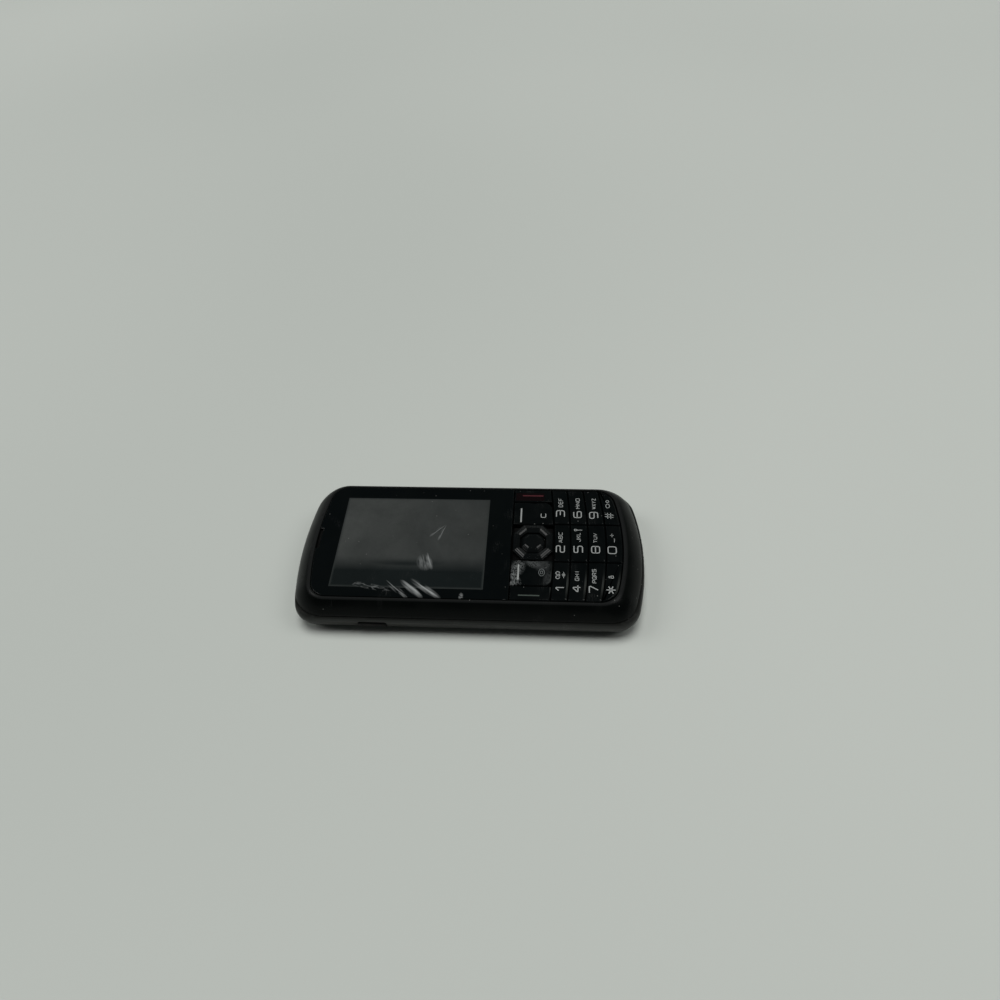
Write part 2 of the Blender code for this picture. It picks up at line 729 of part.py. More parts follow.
def make_display_window(look):
    rim = grow(OPENING, -FINE_GAP)
    bottom = FACE - WINDOW_THICKNESS
    levels = [
        (bottom, rim),
        (FACE - WINDOW_BEVEL, rim),
        (FACE, grow(rim, -WINDOW_BEVEL)),
    ]
    window = loft([ring(outline_points(outline), height) for height, outline in levels])
    keep_common(window, all_plan(FACE_SPLIT, BODY_LENGTH, 0, FACE + OVERRUN))
    notch = block(
        -SLOT_LENGTH / 2,
        SLOT_LENGTH / 2,
        OPENING.top - GAP - SLOT_WIDTH,
        BODY_LENGTH,
        0,
        FACE + OVERRUN,
    )
    cut(window, notch)
    return piece("display_window", window, look)


def make_display(panel_look, frame_look, flex_look):
    panel_top = WINDOW_SEAT
    panel = centred_block(
        0, DISPLAY_CENTRE, PANEL_WIDTH, PANEL_LENGTH, panel_top - PANEL_THICKNESS, panel_top
    )
    piece("lcd_panel", panel, panel_look)
    top = LEDGE_UNDERSIDE - GAP
    bottom = top - BACKLIGHT_THICKNESS
    frame = centred_block(0, DISPLAY_CENTRE, BACKLIGHT_WIDTH, BACKLIGHT_LENGTH, bottom, top)
    hollow_width = BACKLIGHT_WIDTH - 2 * BACKLIGHT_RIM
    hollow_length = BACKLIGHT_LENGTH - 2 * BACKLIGHT_RIM
    floor = bottom + BACKLIGHT_FLOOR
    cut(frame, centred_block(0, DISPLAY_CENTRE, hollow_width, hollow_length, floor, top + OVERRUN))
    piece("backlight_frame", frame, frame_look)
    riser_y = BACKLIGHT_END - GAP
    foot_z = BOARD_TOP + FINE_GAP
    half = FLEX_WIDTH / 2
    profile = [
        (riser_y, foot_z),
        (riser_y, top),
        (riser_y - FLEX_THICKNESS, top),
        (riser_y - FLEX_THICKNESS, foot_z + FLEX_THICKNESS),
        (riser_y - FLEX_FOOT, foot_z + FLEX_THICKNESS),
        (riser_y - FLEX_FOOT, foot_z),
    ]
    flex = loft([[(x, y, z) for y, z in profile] for x in (-half, half)])
    piece("display_flex", flex, flex_look)


# Key field


def row_edge(row, x):
    """The curved edge above a row of number keys. Row 0 is the first, and each later edge bows more."""
    y = PAD_TOP - (FIRST_ROW_HEIGHT + ROW_HEIGHT * (row - 1) if row else 0)
    rise = FIRST_EDGE_RISE + EDGE_RISE_GAIN * (row / len(NUMBER_KEYS)) ** EDGE_RISE_POWER
    return y + rise * (x / OPENING.half_width) ** 2


def across(x0, x1):
    return np.linspace(x0, x1, EDGE_STEPS + 1)


def key_side():
    return OPENING.half_width - GAP


def row_points(row, x0, x1, offset):
    """Points along a row's edge from x0 to x1, moved up or down by an offset."""
    return [(x, row_edge(row, x) + offset) for x in across(x0, x1)]


def number_key_points(row, column):
    """The outline of one number key, anticlockwise."""
    edges = [-key_side(), -COLUMN_SPLIT - GAP / 2, -COLUMN_SPLIT + GAP / 2]
    edges += [COLUMN_SPLIT - GAP / 2, COLUMN_SPLIT + GAP / 2, key_side()]
    x0, x1 = edges[2 * column], edges[2 * column + 1]
    upper = row_points(row, x0, x1, -GAP / 2)[::-1]
    if row + 1 < len(NUMBER_KEYS):
        lower = row_points(row + 1, x0, x1, GAP / 2)
    else:
        lower = [(x0, -BODY_LENGTH), (x1, -BODY_LENGTH)]
    return clipped(upper + lower, outline_points(grow(OPENING, -GAP)))


def shallow_low_edge(normal):
    """Side bevels are narrow and the edge towards the chin gets the wide, shallow chamfer."""
    return KEY_BEVEL + (KEY_CHAMFER - KEY_BEVEL) * max(0, -normal[1]) ** KEY_CHAMFER_POWER


def even_bevel(normal):
    return KEY_BEVEL


def key_cap(points, width_of):
    """A cap with straight sides and bevelled upper edges."""
    return loft([
        ring(points, KEY_UNDERSIDE),
        ring(points, FACE - KEY_SHOULDER),
        ring(inset(points, width_of), FACE),
    ])


def stem(x, y, radius, top):
    """A plunger that reaches down to just above its dome."""
    return disc(x, y, radius, STEM_FOOT, top + FINE_GAP, STEM_SIDES)


def stem_places():
    """Where each plunger stands, with its radius."""
    places = []
    for row, names in enumerate(NUMBER_KEYS):
        for column in range(len(names)):
            points = number_key_points(row, column)
            places.append((*plan_middle(points), STEM_RADIUS))
    for side in (-1, 1):
        places.append((*plan_middle(outer_key_points(side)), STEM_RADIUS))
        for end in (-1, 1):
            x = side * (FUNCTION_SPLIT + CALL_KEY_SPLIT) / 2
            places.append((x, NAV_CENTRE + end * ROCKER_STEM_OFFSET, STEM_RADIUS))
        places.append((side * NAV_STEM_OFFSET, NAV_CENTRE, NAV_STEM_RADIUS))
        places.append((0, NAV_CENTRE + side * NAV_STEM_OFFSET, NAV_STEM_RADIUS))
    places.append((0, NAV_CENTRE, OK_STEM_RADIUS))
    return places


def plan_middle(points):
    low = np.min(points, axis=0)
    high = np.max(points, axis=0)
    return tuple((low + high) / 2)


def make_number_keys(look):
    for row, names in enumerate(NUMBER_KEYS):
        for column, name in enumerate(names):
            points = number_key_points(row, column)
            x, y = plan_middle(points)
            cap = key_cap(points, shallow_low_edge)
            join(cap, stem(x, y, STEM_RADIUS, KEY_UNDERSIDE))
            piece(name, cap, look, origin=(x, y, FACE))


def outer_key_points(side):
    """The call key is on the left side, the end key on the right."""
    inner = side * (CALL_KEY_SPLIT + GAP / 2)
    outer = side * key_side()
    x0, x1 = min(inner, outer), max(inner, outer)
    lower = row_points(0, x0, x1, GAP / 2)
    return np.array([(x1, KEY_TOP_EDGE), (x0, KEY_TOP_EDGE)] + lower)


def function_key_points(side):
    """A tall cap between the outer key and the ring, with its lower outer corner rounded off."""
    inner = side * FUNCTION_SPLIT
    outer = side * (CALL_KEY_SPLIT - GAP / 2)
    x0, x1 = min(inner, outer), max(inner, outer)
    low = [row_edge(0, x) + GAP / 2 for x in (x0, x1)]
    radii = [0, 0, FUNCTION_CORNER, 0] if side < 0 else [0, 0, 0, FUNCTION_CORNER]
    corners = [(x1, KEY_TOP_EDGE), (x0, KEY_TOP_EDGE), (x0, low[0]), (x1, low[1])]
    return rounded_corners(corners, radii)


def valley(x0, x1):
    """A shallow trough across a rocking cap, as a cutter."""
    radius = (VALLEY_HALF_WIDTH ** 2 + VALLEY_DEPTH ** 2) / (2 * VALLEY_DEPTH)
    span = math.asin(VALLEY_HALF_WIDTH / radius)
    profile = []
    for angle in np.linspace(-span, span, 2 * EDGE_STEPS):
        y = NAV_CENTRE + radius * math.sin(angle)
        profile.append((y, FACE - VALLEY_DEPTH + radius * (1 - math.cos(angle))))
    profile.append((NAV_CENTRE + VALLEY_HALF_WIDTH, FACE + OVERRUN))
    profile.append((NAV_CENTRE - VALLEY_HALF_WIDTH, FACE + OVERRUN))
    return loft([[(x, y, z) for y, z in profile] for x in (x0, x1)])


def make_upper_keys(look):
    for side, name in ((-1, "call_key"), (1, "end_key")):
        points = outer_key_points(side)
        x, y = plan_middle(points)
        cap = key_cap(points, even_bevel)
        join(cap, stem(x, y, STEM_RADIUS, KEY_UNDERSIDE))
        piece(name, cap, look, origin=(x, y, FACE))
    for side, name in ((-1, "left_function_key"), (1, "right_function_key")):
        points = function_key_points(side)
        cap = key_cap(points, even_bevel)
        x0, x1 = points[:, 0].min() - OVERRUN, points[:, 0].max() + OVERRUN
        cut(cap, valley(x0, x1))
        x = side * (FUNCTION_SPLIT + CALL_KEY_SPLIT) / 2
        for end in (-1, 1):
            join(cap, stem(x, NAV_CENTRE + end * ROCKER_STEM_OFFSET, STEM_RADIUS, KEY_UNDERSIDE))
        piece(name, cap, look, origin=(x, NAV_CENTRE, KEY_UNDERSIDE))


def nav_octagon(distance):
    """The ring's outline moved inwards by a distance."""
    return octagon(
        NAV_HALF_WIDTH - distance,
        NAV_HALF_LENGTH - distance,
        NAV_CORNER_SHARE,
        CORNER_ROUND_SHARE * (NAV_HALF_LENGTH - distance),
    ) + (0, NAV_CENTRE)


def ok_octagon(distance):
    """The centre key's outline moved inwards by a distance."""
    half = OK_HALF_WIDTH - distance
    return octagon(half, half, OK_CORNER_SHARE, CORNER_ROUND_SHARE * half) + (0, NAV_CENTRE)


def make_nav_cluster(ring_look, carrier_look, ok_look):
    hole = ok_octagon(-GAP)
    crest = FACE + NAV_PROUD
    profile = [
        ring(nav_octagon(0), RING_UNDERSIDE),
        ring(nav_octagon(0), crest - NAV_SHOULDER),
        ring(nav_octagon(NAV_BEVEL), crest),
        ring(nav_octagon(NAV_BEVEL + NAV_LAND), crest),
        ring(hole, crest - NAV_INNER_DROP),
        ring(hole, RING_UNDERSIDE),
    ]
    nav_ring = loft(profile, closed=True)
    for end in (-1, 1):
        join(nav_ring, stem(0, NAV_CENTRE + end * NAV_STEM_OFFSET, NAV_STEM_RADIUS, RING_UNDERSIDE))
    piece("nav_ring", nav_ring, ring_look, origin=(0, NAV_CENTRE, RING_UNDERSIDE))

    plate = rectangle(
        -NAV_HALF_WIDTH,
        NAV_HALF_WIDTH,
        NAV_CENTRE - NAV_HALF_LENGTH,
        NAV_CENTRE + NAV_HALF_LENGTH,
        FINE_GAP,
    )
    carrier = slab(plate, CARRIER_UNDERSIDE, CARRIER_TOP)
    bottom, top = CARRIER_UNDERSIDE - OVERRUN, CARRIER_TOP + OVERRUN
    cut(carrier, disc(0, NAV_CENTRE, OK_STEM_RADIUS + 2 * GAP, bottom, top))
    for side in (-1, 1):
        y = NAV_CENTRE + side * NAV_STEM_OFFSET
        cut(carrier, disc(0, y, NAV_STEM_RADIUS + GAP, bottom, top, STEM_SIDES))
        join(carrier, stem(side * NAV_STEM_OFFSET, NAV_CENTRE, NAV_STEM_RADIUS, CARRIER_UNDERSIDE))
    piece("nav_carrier", carrier, carrier_look, origin=(0, NAV_CENTRE, RING_UNDERSIDE))

    under = FACE - OK_UNDERSIDE_DEPTH
    rim = FACE + OK_PROUD
    levels = [
        ring(ok_octagon(0), under),
        ring(ok_octagon(0), rim - OK_BEVEL),
        ring(ok_octagon(OK_BEVEL), rim),
    ]
    for share in OK_DISH_SHARES:
        reach = OK_BEVEL + (OK_HALF_WIDTH - OK_BEVEL) * share
        sink = OK_DISH * (1 - (1 - share) ** 2)
        levels.append(ring(ok_octagon(reach), rim - sink))
    ok = loft(levels)
    join(ok, stem(0, NAV_CENTRE, OK_STEM_RADIUS, under))
    piece("ok_key", ok, ok_look, origin=(0, NAV_CENTRE, FACE))


# Key web and domes


def make_web(look):
    places = stem_places()
    outer = outline_points(grow(OPENING, WEB_OVERHANG))
    web = slab(outer, BOARD_TOP + GAP, WEB_TOP)
    keep_common(web, all_plan(-BODY_LENGTH, WEB_TOP_EDGE, 0, FACE))
    room = slab(outline_points(grow(OPENING, WEB_OVERHANG - WEB_SKIRT)), 0, WEB_UNDERSIDE)
    keep_common(room, all_plan(-BODY_LENGTH, WEB_TOP_EDGE - WEB_SKIRT, -OVERRUN, FACE))
    cut(web, room)
    for x, y in SCREW_PLACES:
        if y < WEB_TOP_EDGE:
            cut(web, disc(x, y, BOSS_RADIUS + GAP, 0, FACE))
    for x, y, radius in places:
        cut(web, disc(x, y, radius + WEB_CLEARANCE, WEB_UNDERSIDE - FINE_GAP, FACE, STEM_SIDES))
    piece("keypad_web", web, look)


def make_dome_sheet(look):
    bottom = BOARD_TOP + DOME_SHEET_LIFT
    sheet = slab(outline_points(grow(OPENING, -DOME_SHEET_INSET)), bottom, DOME_SHEET_TOP)
    keep_common(sheet, all_plan(-BODY_LENGTH, WEB_TOP_EDGE - WEB_SKIRT - GAP, 0, FACE))
    for x, y, _ in stem_places():
        dome = loft([
            ring(circle(x, y, DOME_RADIUS, STEM_SIDES), bottom + DOME_SHEET_THICKNESS / 2),
            ring(circle(x, y, DOME_RADIUS, STEM_SIDES), DOME_SHEET_TOP),
            ring(circle(x, y, DOME_RADIUS / 2, STEM_SIDES), DOME_TOP),
        ])
        join(sheet, dome)
    piece("dome_sheet", sheet, look)


# Main board and what it carries


def make_main_board(look):
    outline = grow(SEAM, -BOARD_INSET)
    board = slab(outline_points(outline), BOARD_BOTTOM, BOARD_TOP)
    for x, y in SCREW_PLACES:
        hole = SCREW_SHAFT_RADIUS + GAP
        cut(board, disc(x, y, hole, BOARD_BOTTOM - OVERRUN, BOARD_TOP + OVERRUN, ROUND_SIDES // 2))
    piece("main_board", board, look)


def make_shield_cans(look):
    top = BOARD_BOTTOM - FINE_GAP
    for side, name in ((-1, "shield_can"), (1, "shield_can_rf")):
        x = side * (CAN_WIDTH + GAP) / 2
        y = CAN_TOP - CAN_LENGTH / 2
        can = centred_block(x, y, CAN_WIDTH, CAN_LENGTH, top - CAN_HEIGHT, top)
        inner = CAN_WIDTH - 2 * CAN_WALL, CAN_LENGTH - 2 * CAN_WALL
        cut(can, centred_block(x, y, *inner, top - CAN_HEIGHT + CAN_WALL, top + OVERRUN))
        piece(name, can, look)


def make_sim_holder(look):
    top = BOARD_BOTTOM - FINE_GAP
    bottom = top - SIM_HEIGHT
    holder = centred_block(0, SIM_CENTRE, SIM_WIDTH, SIM_LENGTH, bottom, top)
    half = SIM_WIDTH / 2 - SIM_WALL
    end = SIM_CENTRE - SIM_LENGTH / 2 - OVERRUN
    stop = SIM_CENTRE + SIM_LENGTH / 2 - SIM_WALL
    cut(holder, block(-half, half, end, stop, bottom + SIM_PLATE, top - SIM_PLATE))
    half -= SIM_WALL
    cut(holder, block(-half, half, end, stop - SIM_WALL, bottom - OVERRUN, top - SIM_PLATE))
    piece("sim_holder", holder, look)


def make_battery_connector(body_look):
    top = BOARD_BOTTOM - FINE_GAP
    face = CONNECTOR_FACE
    half = CONNECTOR_WIDTH / 2
    body = block(-half, half, face, face + CONNECTOR_DEPTH, SHELL_OVER_BACK + GAP, top)
    pitch = CONNECTOR_WIDTH / CONTACTS
    for i in range(CONTACTS):
        x = (i - (CONTACTS - 1) / 2) * pitch
        profile = [
            (face + GAP, BAY_CEILING - GAP),
            (face - CONTACT_REACH, BAY_CEILING - BATTERY_THICKNESS / 2),
            (face + GAP, BATTERY_FLOOR + 2 * CONTACT_WIDTH),
        ]
        ends = x - CONTACT_WIDTH / 2, x + CONTACT_WIDTH / 2
        join(body, loft([[(end, y, z) for y, z in profile] for end in ends]))
    piece("battery_connector", body, body_look)


# Battery and battery cover


def make_battery(look):
    half = BATTERY_WIDTH / 2
    plan = rectangle(-half, half, BATTERY_END, BATTERY_TOP, BATTERY_EDGE)
    small = inset(plan, lambda normal: BATTERY_EDGE)
    bottom, top = BATTERY_FLOOR, BATTERY_FLOOR + BATTERY_THICKNESS
    levels = [(small, bottom), (plan, bottom + BATTERY_EDGE), (plan, top - BATTERY_EDGE), (small, top)]
    battery = loft([ring(points, height) for points, height in levels])
    pitch = CONNECTOR_WIDTH / CONTACTS
    middle = BAY_CEILING - BATTERY_THICKNESS / 2
    for i in range(CONTACTS):
        x = (i - (CONTACTS - 1) / 2) * pitch
        reach = CONTACT_WIDTH + GAP
        pad = centred_block(x, BATTERY_TOP, reach, 2 * CONTACT_REACH, middle - reach, middle + reach)
        cut(battery, pad)
    piece("battery", battery, look)


def hook_places():
    return np.linspace(HOOK_FIRST, HOOK_LAST, HOOKS_PER_SIDE)


def post_edges():
    """Inner and outer faces of a hook's post, and the tip of its flange, on the right side."""
    inner = BATTERY_WIDTH / 2 + 2 * GAP
    outer = inner + HOOK_POST
    return inner, outer, outer + HOOK_REACH


def flange_heights():
    low = SHELL_OVER_BACK + RAIL_THICKNESS + GAP
    return low, low + HOOK_FLANGE


def mirrored_block(side, x0, x1, y0, y1, z0, z1):
    """A block given for the right side, placed on either side."""
    xs = sorted((side * x0, side * x1))
    return block(*xs, y0, y1, z0, z1)


def make_battery_cover(look):
    cover = section_loft(SHELL_LEVELS, 0, 0, BACK_TOP)
    keep_common(cover, all_plan(-BODY_LENGTH, BACK_EDGE, -OVERRUN, BODY_THICKNESS))
    cut(cover, section_loft(SHELL_LEVELS, BACK_WALL, BACK_FLOOR, BACK_TOP + OVERRUN))
    inner, outer, tip = post_edges()
    low, high = flange_heights()
    for side in (-1, 1):
        for y in hook_places():
            y0, y1 = y - HOOK_LENGTH / 2, y + HOOK_LENGTH / 2
            post = mirrored_block(side, inner, outer, y0, y1, BACK_FLOOR - FINE_GAP, high)
            join(cover, post)
            join(cover, mirrored_block(side, outer - FINE_GAP, tip, y0, y1, low, high))
    half_width, half_length = THUMB_WIDTH / 2, THUMB_LENGTH / 2
    y0, y1 = THUMB_CENTRE - half_length, THUMB_CENTRE + half_length
    thumb = slab(
        rectangle(-half_width, half_width, y0, y1, half_length - FINE_GAP), -OVERRUN, THUMB_DEPTH
    )
    pitch = THUMB_LENGTH / (THUMB_RIBS + 1)
    for i in range(THUMB_RIBS):
        y = y0 + pitch * (i + 1)
        rib = centred_block(0, y, THUMB_WIDTH - THUMB_LENGTH, THUMB_RIB, 0, THUMB_DEPTH + OVERRUN)
        cut(thumb, rib)
    cut(cover, thumb)
    piece("battery_cover", cover, look, origin=(0, BACK_EDGE, 0))


# Rear housing


def hook_channel(side, y):
    """A T-shaped channel: open along the post's run, undercut behind the rail, with an entry notch."""
    inner, outer, tip = post_edges()
    low, high = flange_heights()
    room = high + GAP
    y0 = y - HOOK_LENGTH / 2 - SLIDE_TRAVEL - GAP
    y1 = y + HOOK_LENGTH / 2 + GAP
    notch = y0 + HOOK_LENGTH + 2 * GAP
    run = mirrored_block(side, inner - 2 * GAP, outer + GAP, y0, y1, 0, room)
    join(run, mirrored_block(side, outer, tip + GAP, y0, y1, low - GAP, room))
    join(run, mirrored_block(side, outer, tip + GAP, y0, notch, 0, room - FINE_GAP / 2))
    return run


def housing_room():
    """The room over the partition, with the deeper head and tail compartments at its ends."""
    room = section_loft(SHELL_LEVELS, SHELL_WALL, HEAD_FLOOR, SHELL_TOP + OVERRUN)
    cut(room, all_plan(TAIL_START, HEAD_START, 0, PARTITION_TOP))
    cut(room, all_plan(-BODY_LENGTH, TAIL_START + OVERRUN, 0, TAIL_FLOOR))
    for x, y in SCREW_PLACES:
        cut(room, disc(x, y, BOSS_RADIUS, 0, SHELL_TOP))
    return room


def port_cover_space(clearance):
    """The space of the port cover, curved as the shell's skin, with a clearance round and behind it."""
    half_length = PORT_COVER_WIDTH / 2 + clearance
    half_height = PORT_COVER_HEIGHT / 2 + clearance
    bottom, top = PORT_HEIGHT - half_height, PORT_HEIGHT + half_height
    face = rectangle(
        PORT_Y - half_length, PORT_Y + half_length, bottom, top, PORT_COVER_CORNER + clearance
    )
    space = loft([[(x, y, z) for y, z in face] for x in (-BODY_WIDTH, -SIDE / 2)])
    depth = PORT_COVER_THICKNESS - PORT_COVER_PROUD + clearance
    cut(space, section_loft(SHELL_LEVELS, depth, bottom - FINE_GAP, top + FINE_GAP))
    return space


def receptacle_face():
    return -SIDE + PORT_DEPTH


def grille_slots():
    """Cutters for the slots over the loudspeaker."""
    slots = []
    for i in range(GRILLE_SLOTS):
        y = SPEAKER_Y + (i - (GRILLE_SLOTS - 1) / 2) * GRILLE_PITCH
        half_length, half_width = GRILLE_LENGTH / 2, GRILLE_WIDTH / 2
        slot = rectangle(
            SPEAKER_X - half_length,
            SPEAKER_X + half_length,
            y - half_width,
            y + half_width,
            half_width - FINE_GAP / 2,
        )
        slots.append(slab(slot, -OVERRUN, HEAD_FLOOR + OVERRUN))
    return slots


def make_rear_housing(look):
    housing = section_loft(SHELL_LEVELS, 0, 0, SHELL_TOP)
    cut(housing, housing_room())
    cut(housing, *grille_slots())
    cut(housing, all_plan(-BODY_LENGTH, BACK_EDGE + GAP, -OVERRUN, SHELL_OVER_BACK))
    half = BATTERY_WIDTH / 2 + GAP
    bay_end = BATTERY_END - GAP
    cut(housing, block(-half, half, bay_end, BATTERY_TOP + GAP, 0, BAY_CEILING))
    for side in (-1, 1):
        for y in hook_places():
            cut(housing, hook_channel(side, y))
    half = CONNECTOR_WIDTH / 2 + GAP
    pocket_top = CONNECTOR_FACE + CONNECTOR_DEPTH + GAP
    cut(housing, block(-half, half, BATTERY_TOP, pocket_top, 0, SHELL_TOP))
    sim_room = SIM_WIDTH + 2 * GAP, SIM_LENGTH + 2 * GAP
    cut(housing, centred_block(0, SIM_CENTRE, *sim_room, BAY_CEILING - GAP, SHELL_TOP))
    for x, y in SCREW_PLACES:
        shaft = SCREW_SHAFT_RADIUS + FINE_GAP
        cut(housing, disc(x, y, SCREW_HEAD_RADIUS + GAP, -OVERRUN, SCREW_SEAT, ROUND_SIDES))
        cut(housing, disc(x, y, shaft, 0, SHELL_TOP + OVERRUN, ROUND_SIDES // 2))
    cut(housing, disc(0, CAMERA_Y, CAMERA_HOLE, -OVERRUN, HEAD_FLOOR + OVERRUN))
    recess = CAMERA_GLASS_SINK + CAMERA_GLASS_THICKNESS + FINE_GAP
    cut(housing, disc(0, CAMERA_Y, CAMERA_GLASS + FINE_GAP, -OVERRUN, recess))
    cut(housing, port_cover_space(GAP))
    inner = receptacle_face() + OVERRUN + SHELL_WALL
    mouth_length = RECEPTACLE_WIDTH / 2 + GAP
    mouth_height = RECEPTACLE_HEIGHT / 2 + FINE_GAP
    cut(housing, port_block(-SIDE - OVERRUN, inner, mouth_length, mouth_height))
    mic_height = (PARTITION_TOP + SHELL_TOP) / 2
    cut(housing, turned_along_y(MIC_X, mic_height, MIC_HOLE, -BODY_LENGTH, MIC_Y, STEM_SIDES))
    return piece("rear_housing", housing, look)


# Parts in the head compartment


def make_loudspeaker(look):
    bottom = HEAD_FLOOR + GAP
    speaker = centred_block(
        SPEAKER_X, SPEAKER_Y, SPEAKER_WIDTH, SPEAKER_LENGTH, bottom, bottom + SPEAKER_THICKNESS
    )
    cone = rectangle(
        SPEAKER_X - GRILLE_LENGTH / 2 - GRILLE_WIDTH,
        SPEAKER_X + GRILLE_LENGTH / 2 + GRILLE_WIDTH,
        SPEAKER_Y - SPEAKER_LENGTH / 2 + GRILLE_WIDTH,
        SPEAKER_Y + SPEAKER_LENGTH / 2 - GRILLE_WIDTH,
        2 * GRILLE_WIDTH,
    )
    narrow = inset(cone, lambda normal: GRILLE_WIDTH)
    depth = bottom + GRILLE_WIDTH
    cut(speaker, loft([ring(cone, bottom - OVERRUN), ring(cone, bottom), ring(narrow, depth)]))
    piece("loudspeaker", speaker, look)


def make_camera(module_look, glass_look):
    bottom = HEAD_FLOOR + GAP
    shoulder = bottom + (CAMERA_SIZE / 2 - CAMERA_BARREL)
    module = centred_block(0, CAMERA_Y, CAMERA_SIZE, CAMERA_SIZE, shoulder, bottom + CAMERA_HEIGHT)
    join(module, disc(0, CAMERA_Y, CAMERA_BARREL, bottom, shoulder + FINE_GAP))
    eye = loft([
        ring(circle(0, CAMERA_Y, CAMERA_HOLE), bottom - OVERRUN),
        ring(circle(0, CAMERA_Y, CAMERA_HOLE / 2), bottom + CAMERA_GLASS_THICKNESS),
    ])
    cut(module, eye)
    piece("camera_module", module, module_look)
    glass_top = CAMERA_GLASS_SINK + CAMERA_GLASS_THICKNESS
    glass = disc(0, CAMERA_Y, CAMERA_GLASS, CAMERA_GLASS_SINK, glass_top)
    piece("camera_window", glass, glass_look)


def make_vibration_motor(can_look, weight_look):
    y0, y1 = MOTOR_Y - MOTOR_LENGTH / 2, MOTOR_Y + MOTOR_LENGTH / 2
    motor = turned_along_y(MOTOR_X, MOTOR_AXIS_HEIGHT, MOTOR_RADIUS, y0, y1)
    shaft_end = y1 + GAP + WEIGHT_LENGTH
    join(motor, turned_along_y(MOTOR_X, MOTOR_AXIS_HEIGHT, MOTOR_SHAFT, y1 - GAP, shaft_end, STEM_SIDES))
    piece("vibration_motor", motor, can_look)
    profile = []
    for angle in np.linspace(math.pi, 2 * math.pi, ROUND_SIDES // 2 + 1):
        profile.append((WEIGHT_RADIUS * math.cos(angle), WEIGHT_RADIUS * math.sin(angle)))
    for angle in np.linspace(0, math.pi, ROUND_SIDES // 2 + 1):
        profile.append((WEIGHT_HUB * math.cos(angle), WEIGHT_HUB * math.sin(angle)))
    y0 = y1 + GAP
    rings = []
    for y in (y0, y0 + WEIGHT_LENGTH):
        rings.append([(MOTOR_X + x, y, MOTOR_AXIS_HEIGHT + z) for x, z in profile])
    weight = loft(rings)
    bore = MOTOR_SHAFT + FINE_GAP / 2
    ends = y0 - OVERRUN, y0 + WEIGHT_LENGTH + OVERRUN
    cut(weight, turned_along_y(MOTOR_X, MOTOR_AXIS_HEIGHT, bore, *ends, STEM_SIDES))
    piece("vibration_weight", weight, weight_look, origin=(MOTOR_X, y0, MOTOR_AXIS_HEIGHT))


def make_earpiece(body_look, mesh_look):
    top = LEDGE_UNDERSIDE - GAP
    bottom = top - EARPIECE_HEIGHT
    body = centred_block(0, EARPIECE_Y, EARPIECE_WIDTH, EARPIECE_LENGTH, bottom, top)
    slot_y = OPENING.top - GAP - SLOT_WIDTH / 2
    port_length = SLOT_LENGTH - 2 * SLOT_SHOULDER
    cut(body, centred_block(0, slot_y, port_length, SLOT_WIDTH, top - EARPIECE_PORT, top + OVERRUN))
    piece("earpiece", body, body_look)
    length = SLOT_LENGTH - 2 * FINE_GAP
    mesh_bottom = WINDOW_SEAT + FINE_GAP
    mesh = centred_block(
        0, slot_y + FINE_GAP / 2, length, SLOT_WIDTH - FINE_GAP, mesh_bottom, mesh_bottom + MESH_THICKNESS
    )
    piece("earpiece_mesh", mesh, mesh_look)


# Parts in the tail compartment


def make_microphone(look):
    top = BOARD_BOTTOM - GAP
    mic = disc(MIC_X, MIC_Y, MIC_RADIUS, top - MIC_HEIGHT, top)
    port = disc(MIC_X, MIC_Y, MIC_HOLE, top - MIC_HEIGHT - OVERRUN, top - MIC_HEIGHT / 2, STEM_SIDES)
    piece("microphone", cut(mic, port), look)


def make_antenna(look):
    bottom = TAIL_FLOOR + GAP
    top = bottom + ANTENNA_HEIGHT
    carrier = section_loft(SHELL_LEVELS, SHELL_WALL + GAP, bottom, top)
    half = ANTENNA_WIDTH / 2
    keep_common(carrier, block(-half, half, -BODY_LENGTH, TAIL_START - GAP, 0, BODY_THICKNESS))
    pitch = ANTENNA_WIDTH / (ANTENNA_GROOVES + 1)
    for i in range(ANTENNA_GROOVES):
        x = -half + (i + 1) * pitch
        shift = (1 if i % 2 else -1) * ANTENNA_TRACK
        y = (TAIL_START + TAIL_END + SHELL_WALL) / 2 + shift
        length = TAIL_LENGTH - SHELL_WALL
        cut(carrier, centred_block(x, y, ANTENNA_GROOVE, length, top - ANTENNA_GROOVE, top + OVERRUN))
    piece("antenna", carrier, look)


# Charging port


def port_block(x0, x1, half_length, half_height):
    """A block along the charging port's axis."""
    ends = PORT_Y - half_length, PORT_Y + half_length
    return block(x0, x1, *ends, PORT_HEIGHT - half_height, PORT_HEIGHT + half_height)


def make_charging_port(shell_look, board_look):
    x0 = receptacle_face()
    x1 = x0 + RECEPTACLE_DEPTH
    half_length, half_height = RECEPTACLE_WIDTH / 2, RECEPTACLE_HEIGHT / 2
    shell = port_block(x0, x1, half_length, half_height)
    half_length -= RECEPTACLE_WALL
    half_height -= RECEPTACLE_WALL
    mouth = port_block(x0 - OVERRUN, x1 - RECEPTACLE_TONGUE, half_length, half_height)
    half_length -= RECEPTACLE_TONGUE
    cut(mouth, port_block(x0 + RECEPTACLE_TONGUE, x1, half_length, RECEPTACLE_TONGUE / 2))
    piece("usb_receptacle", cut(shell, mouth), shell_look)

    bottom = PORT_HEIGHT + RECEPTACLE_HEIGHT / 2 + FINE_GAP
    x = x0 + 2 * GAP + IO_BOARD_WIDTH / 2
    top = bottom + IO_BOARD_THICKNESS
    board = centred_block(x, PORT_Y, IO_BOARD_WIDTH, IO_BOARD_LENGTH, bottom, top)
    piece("io_board", board, board_look)


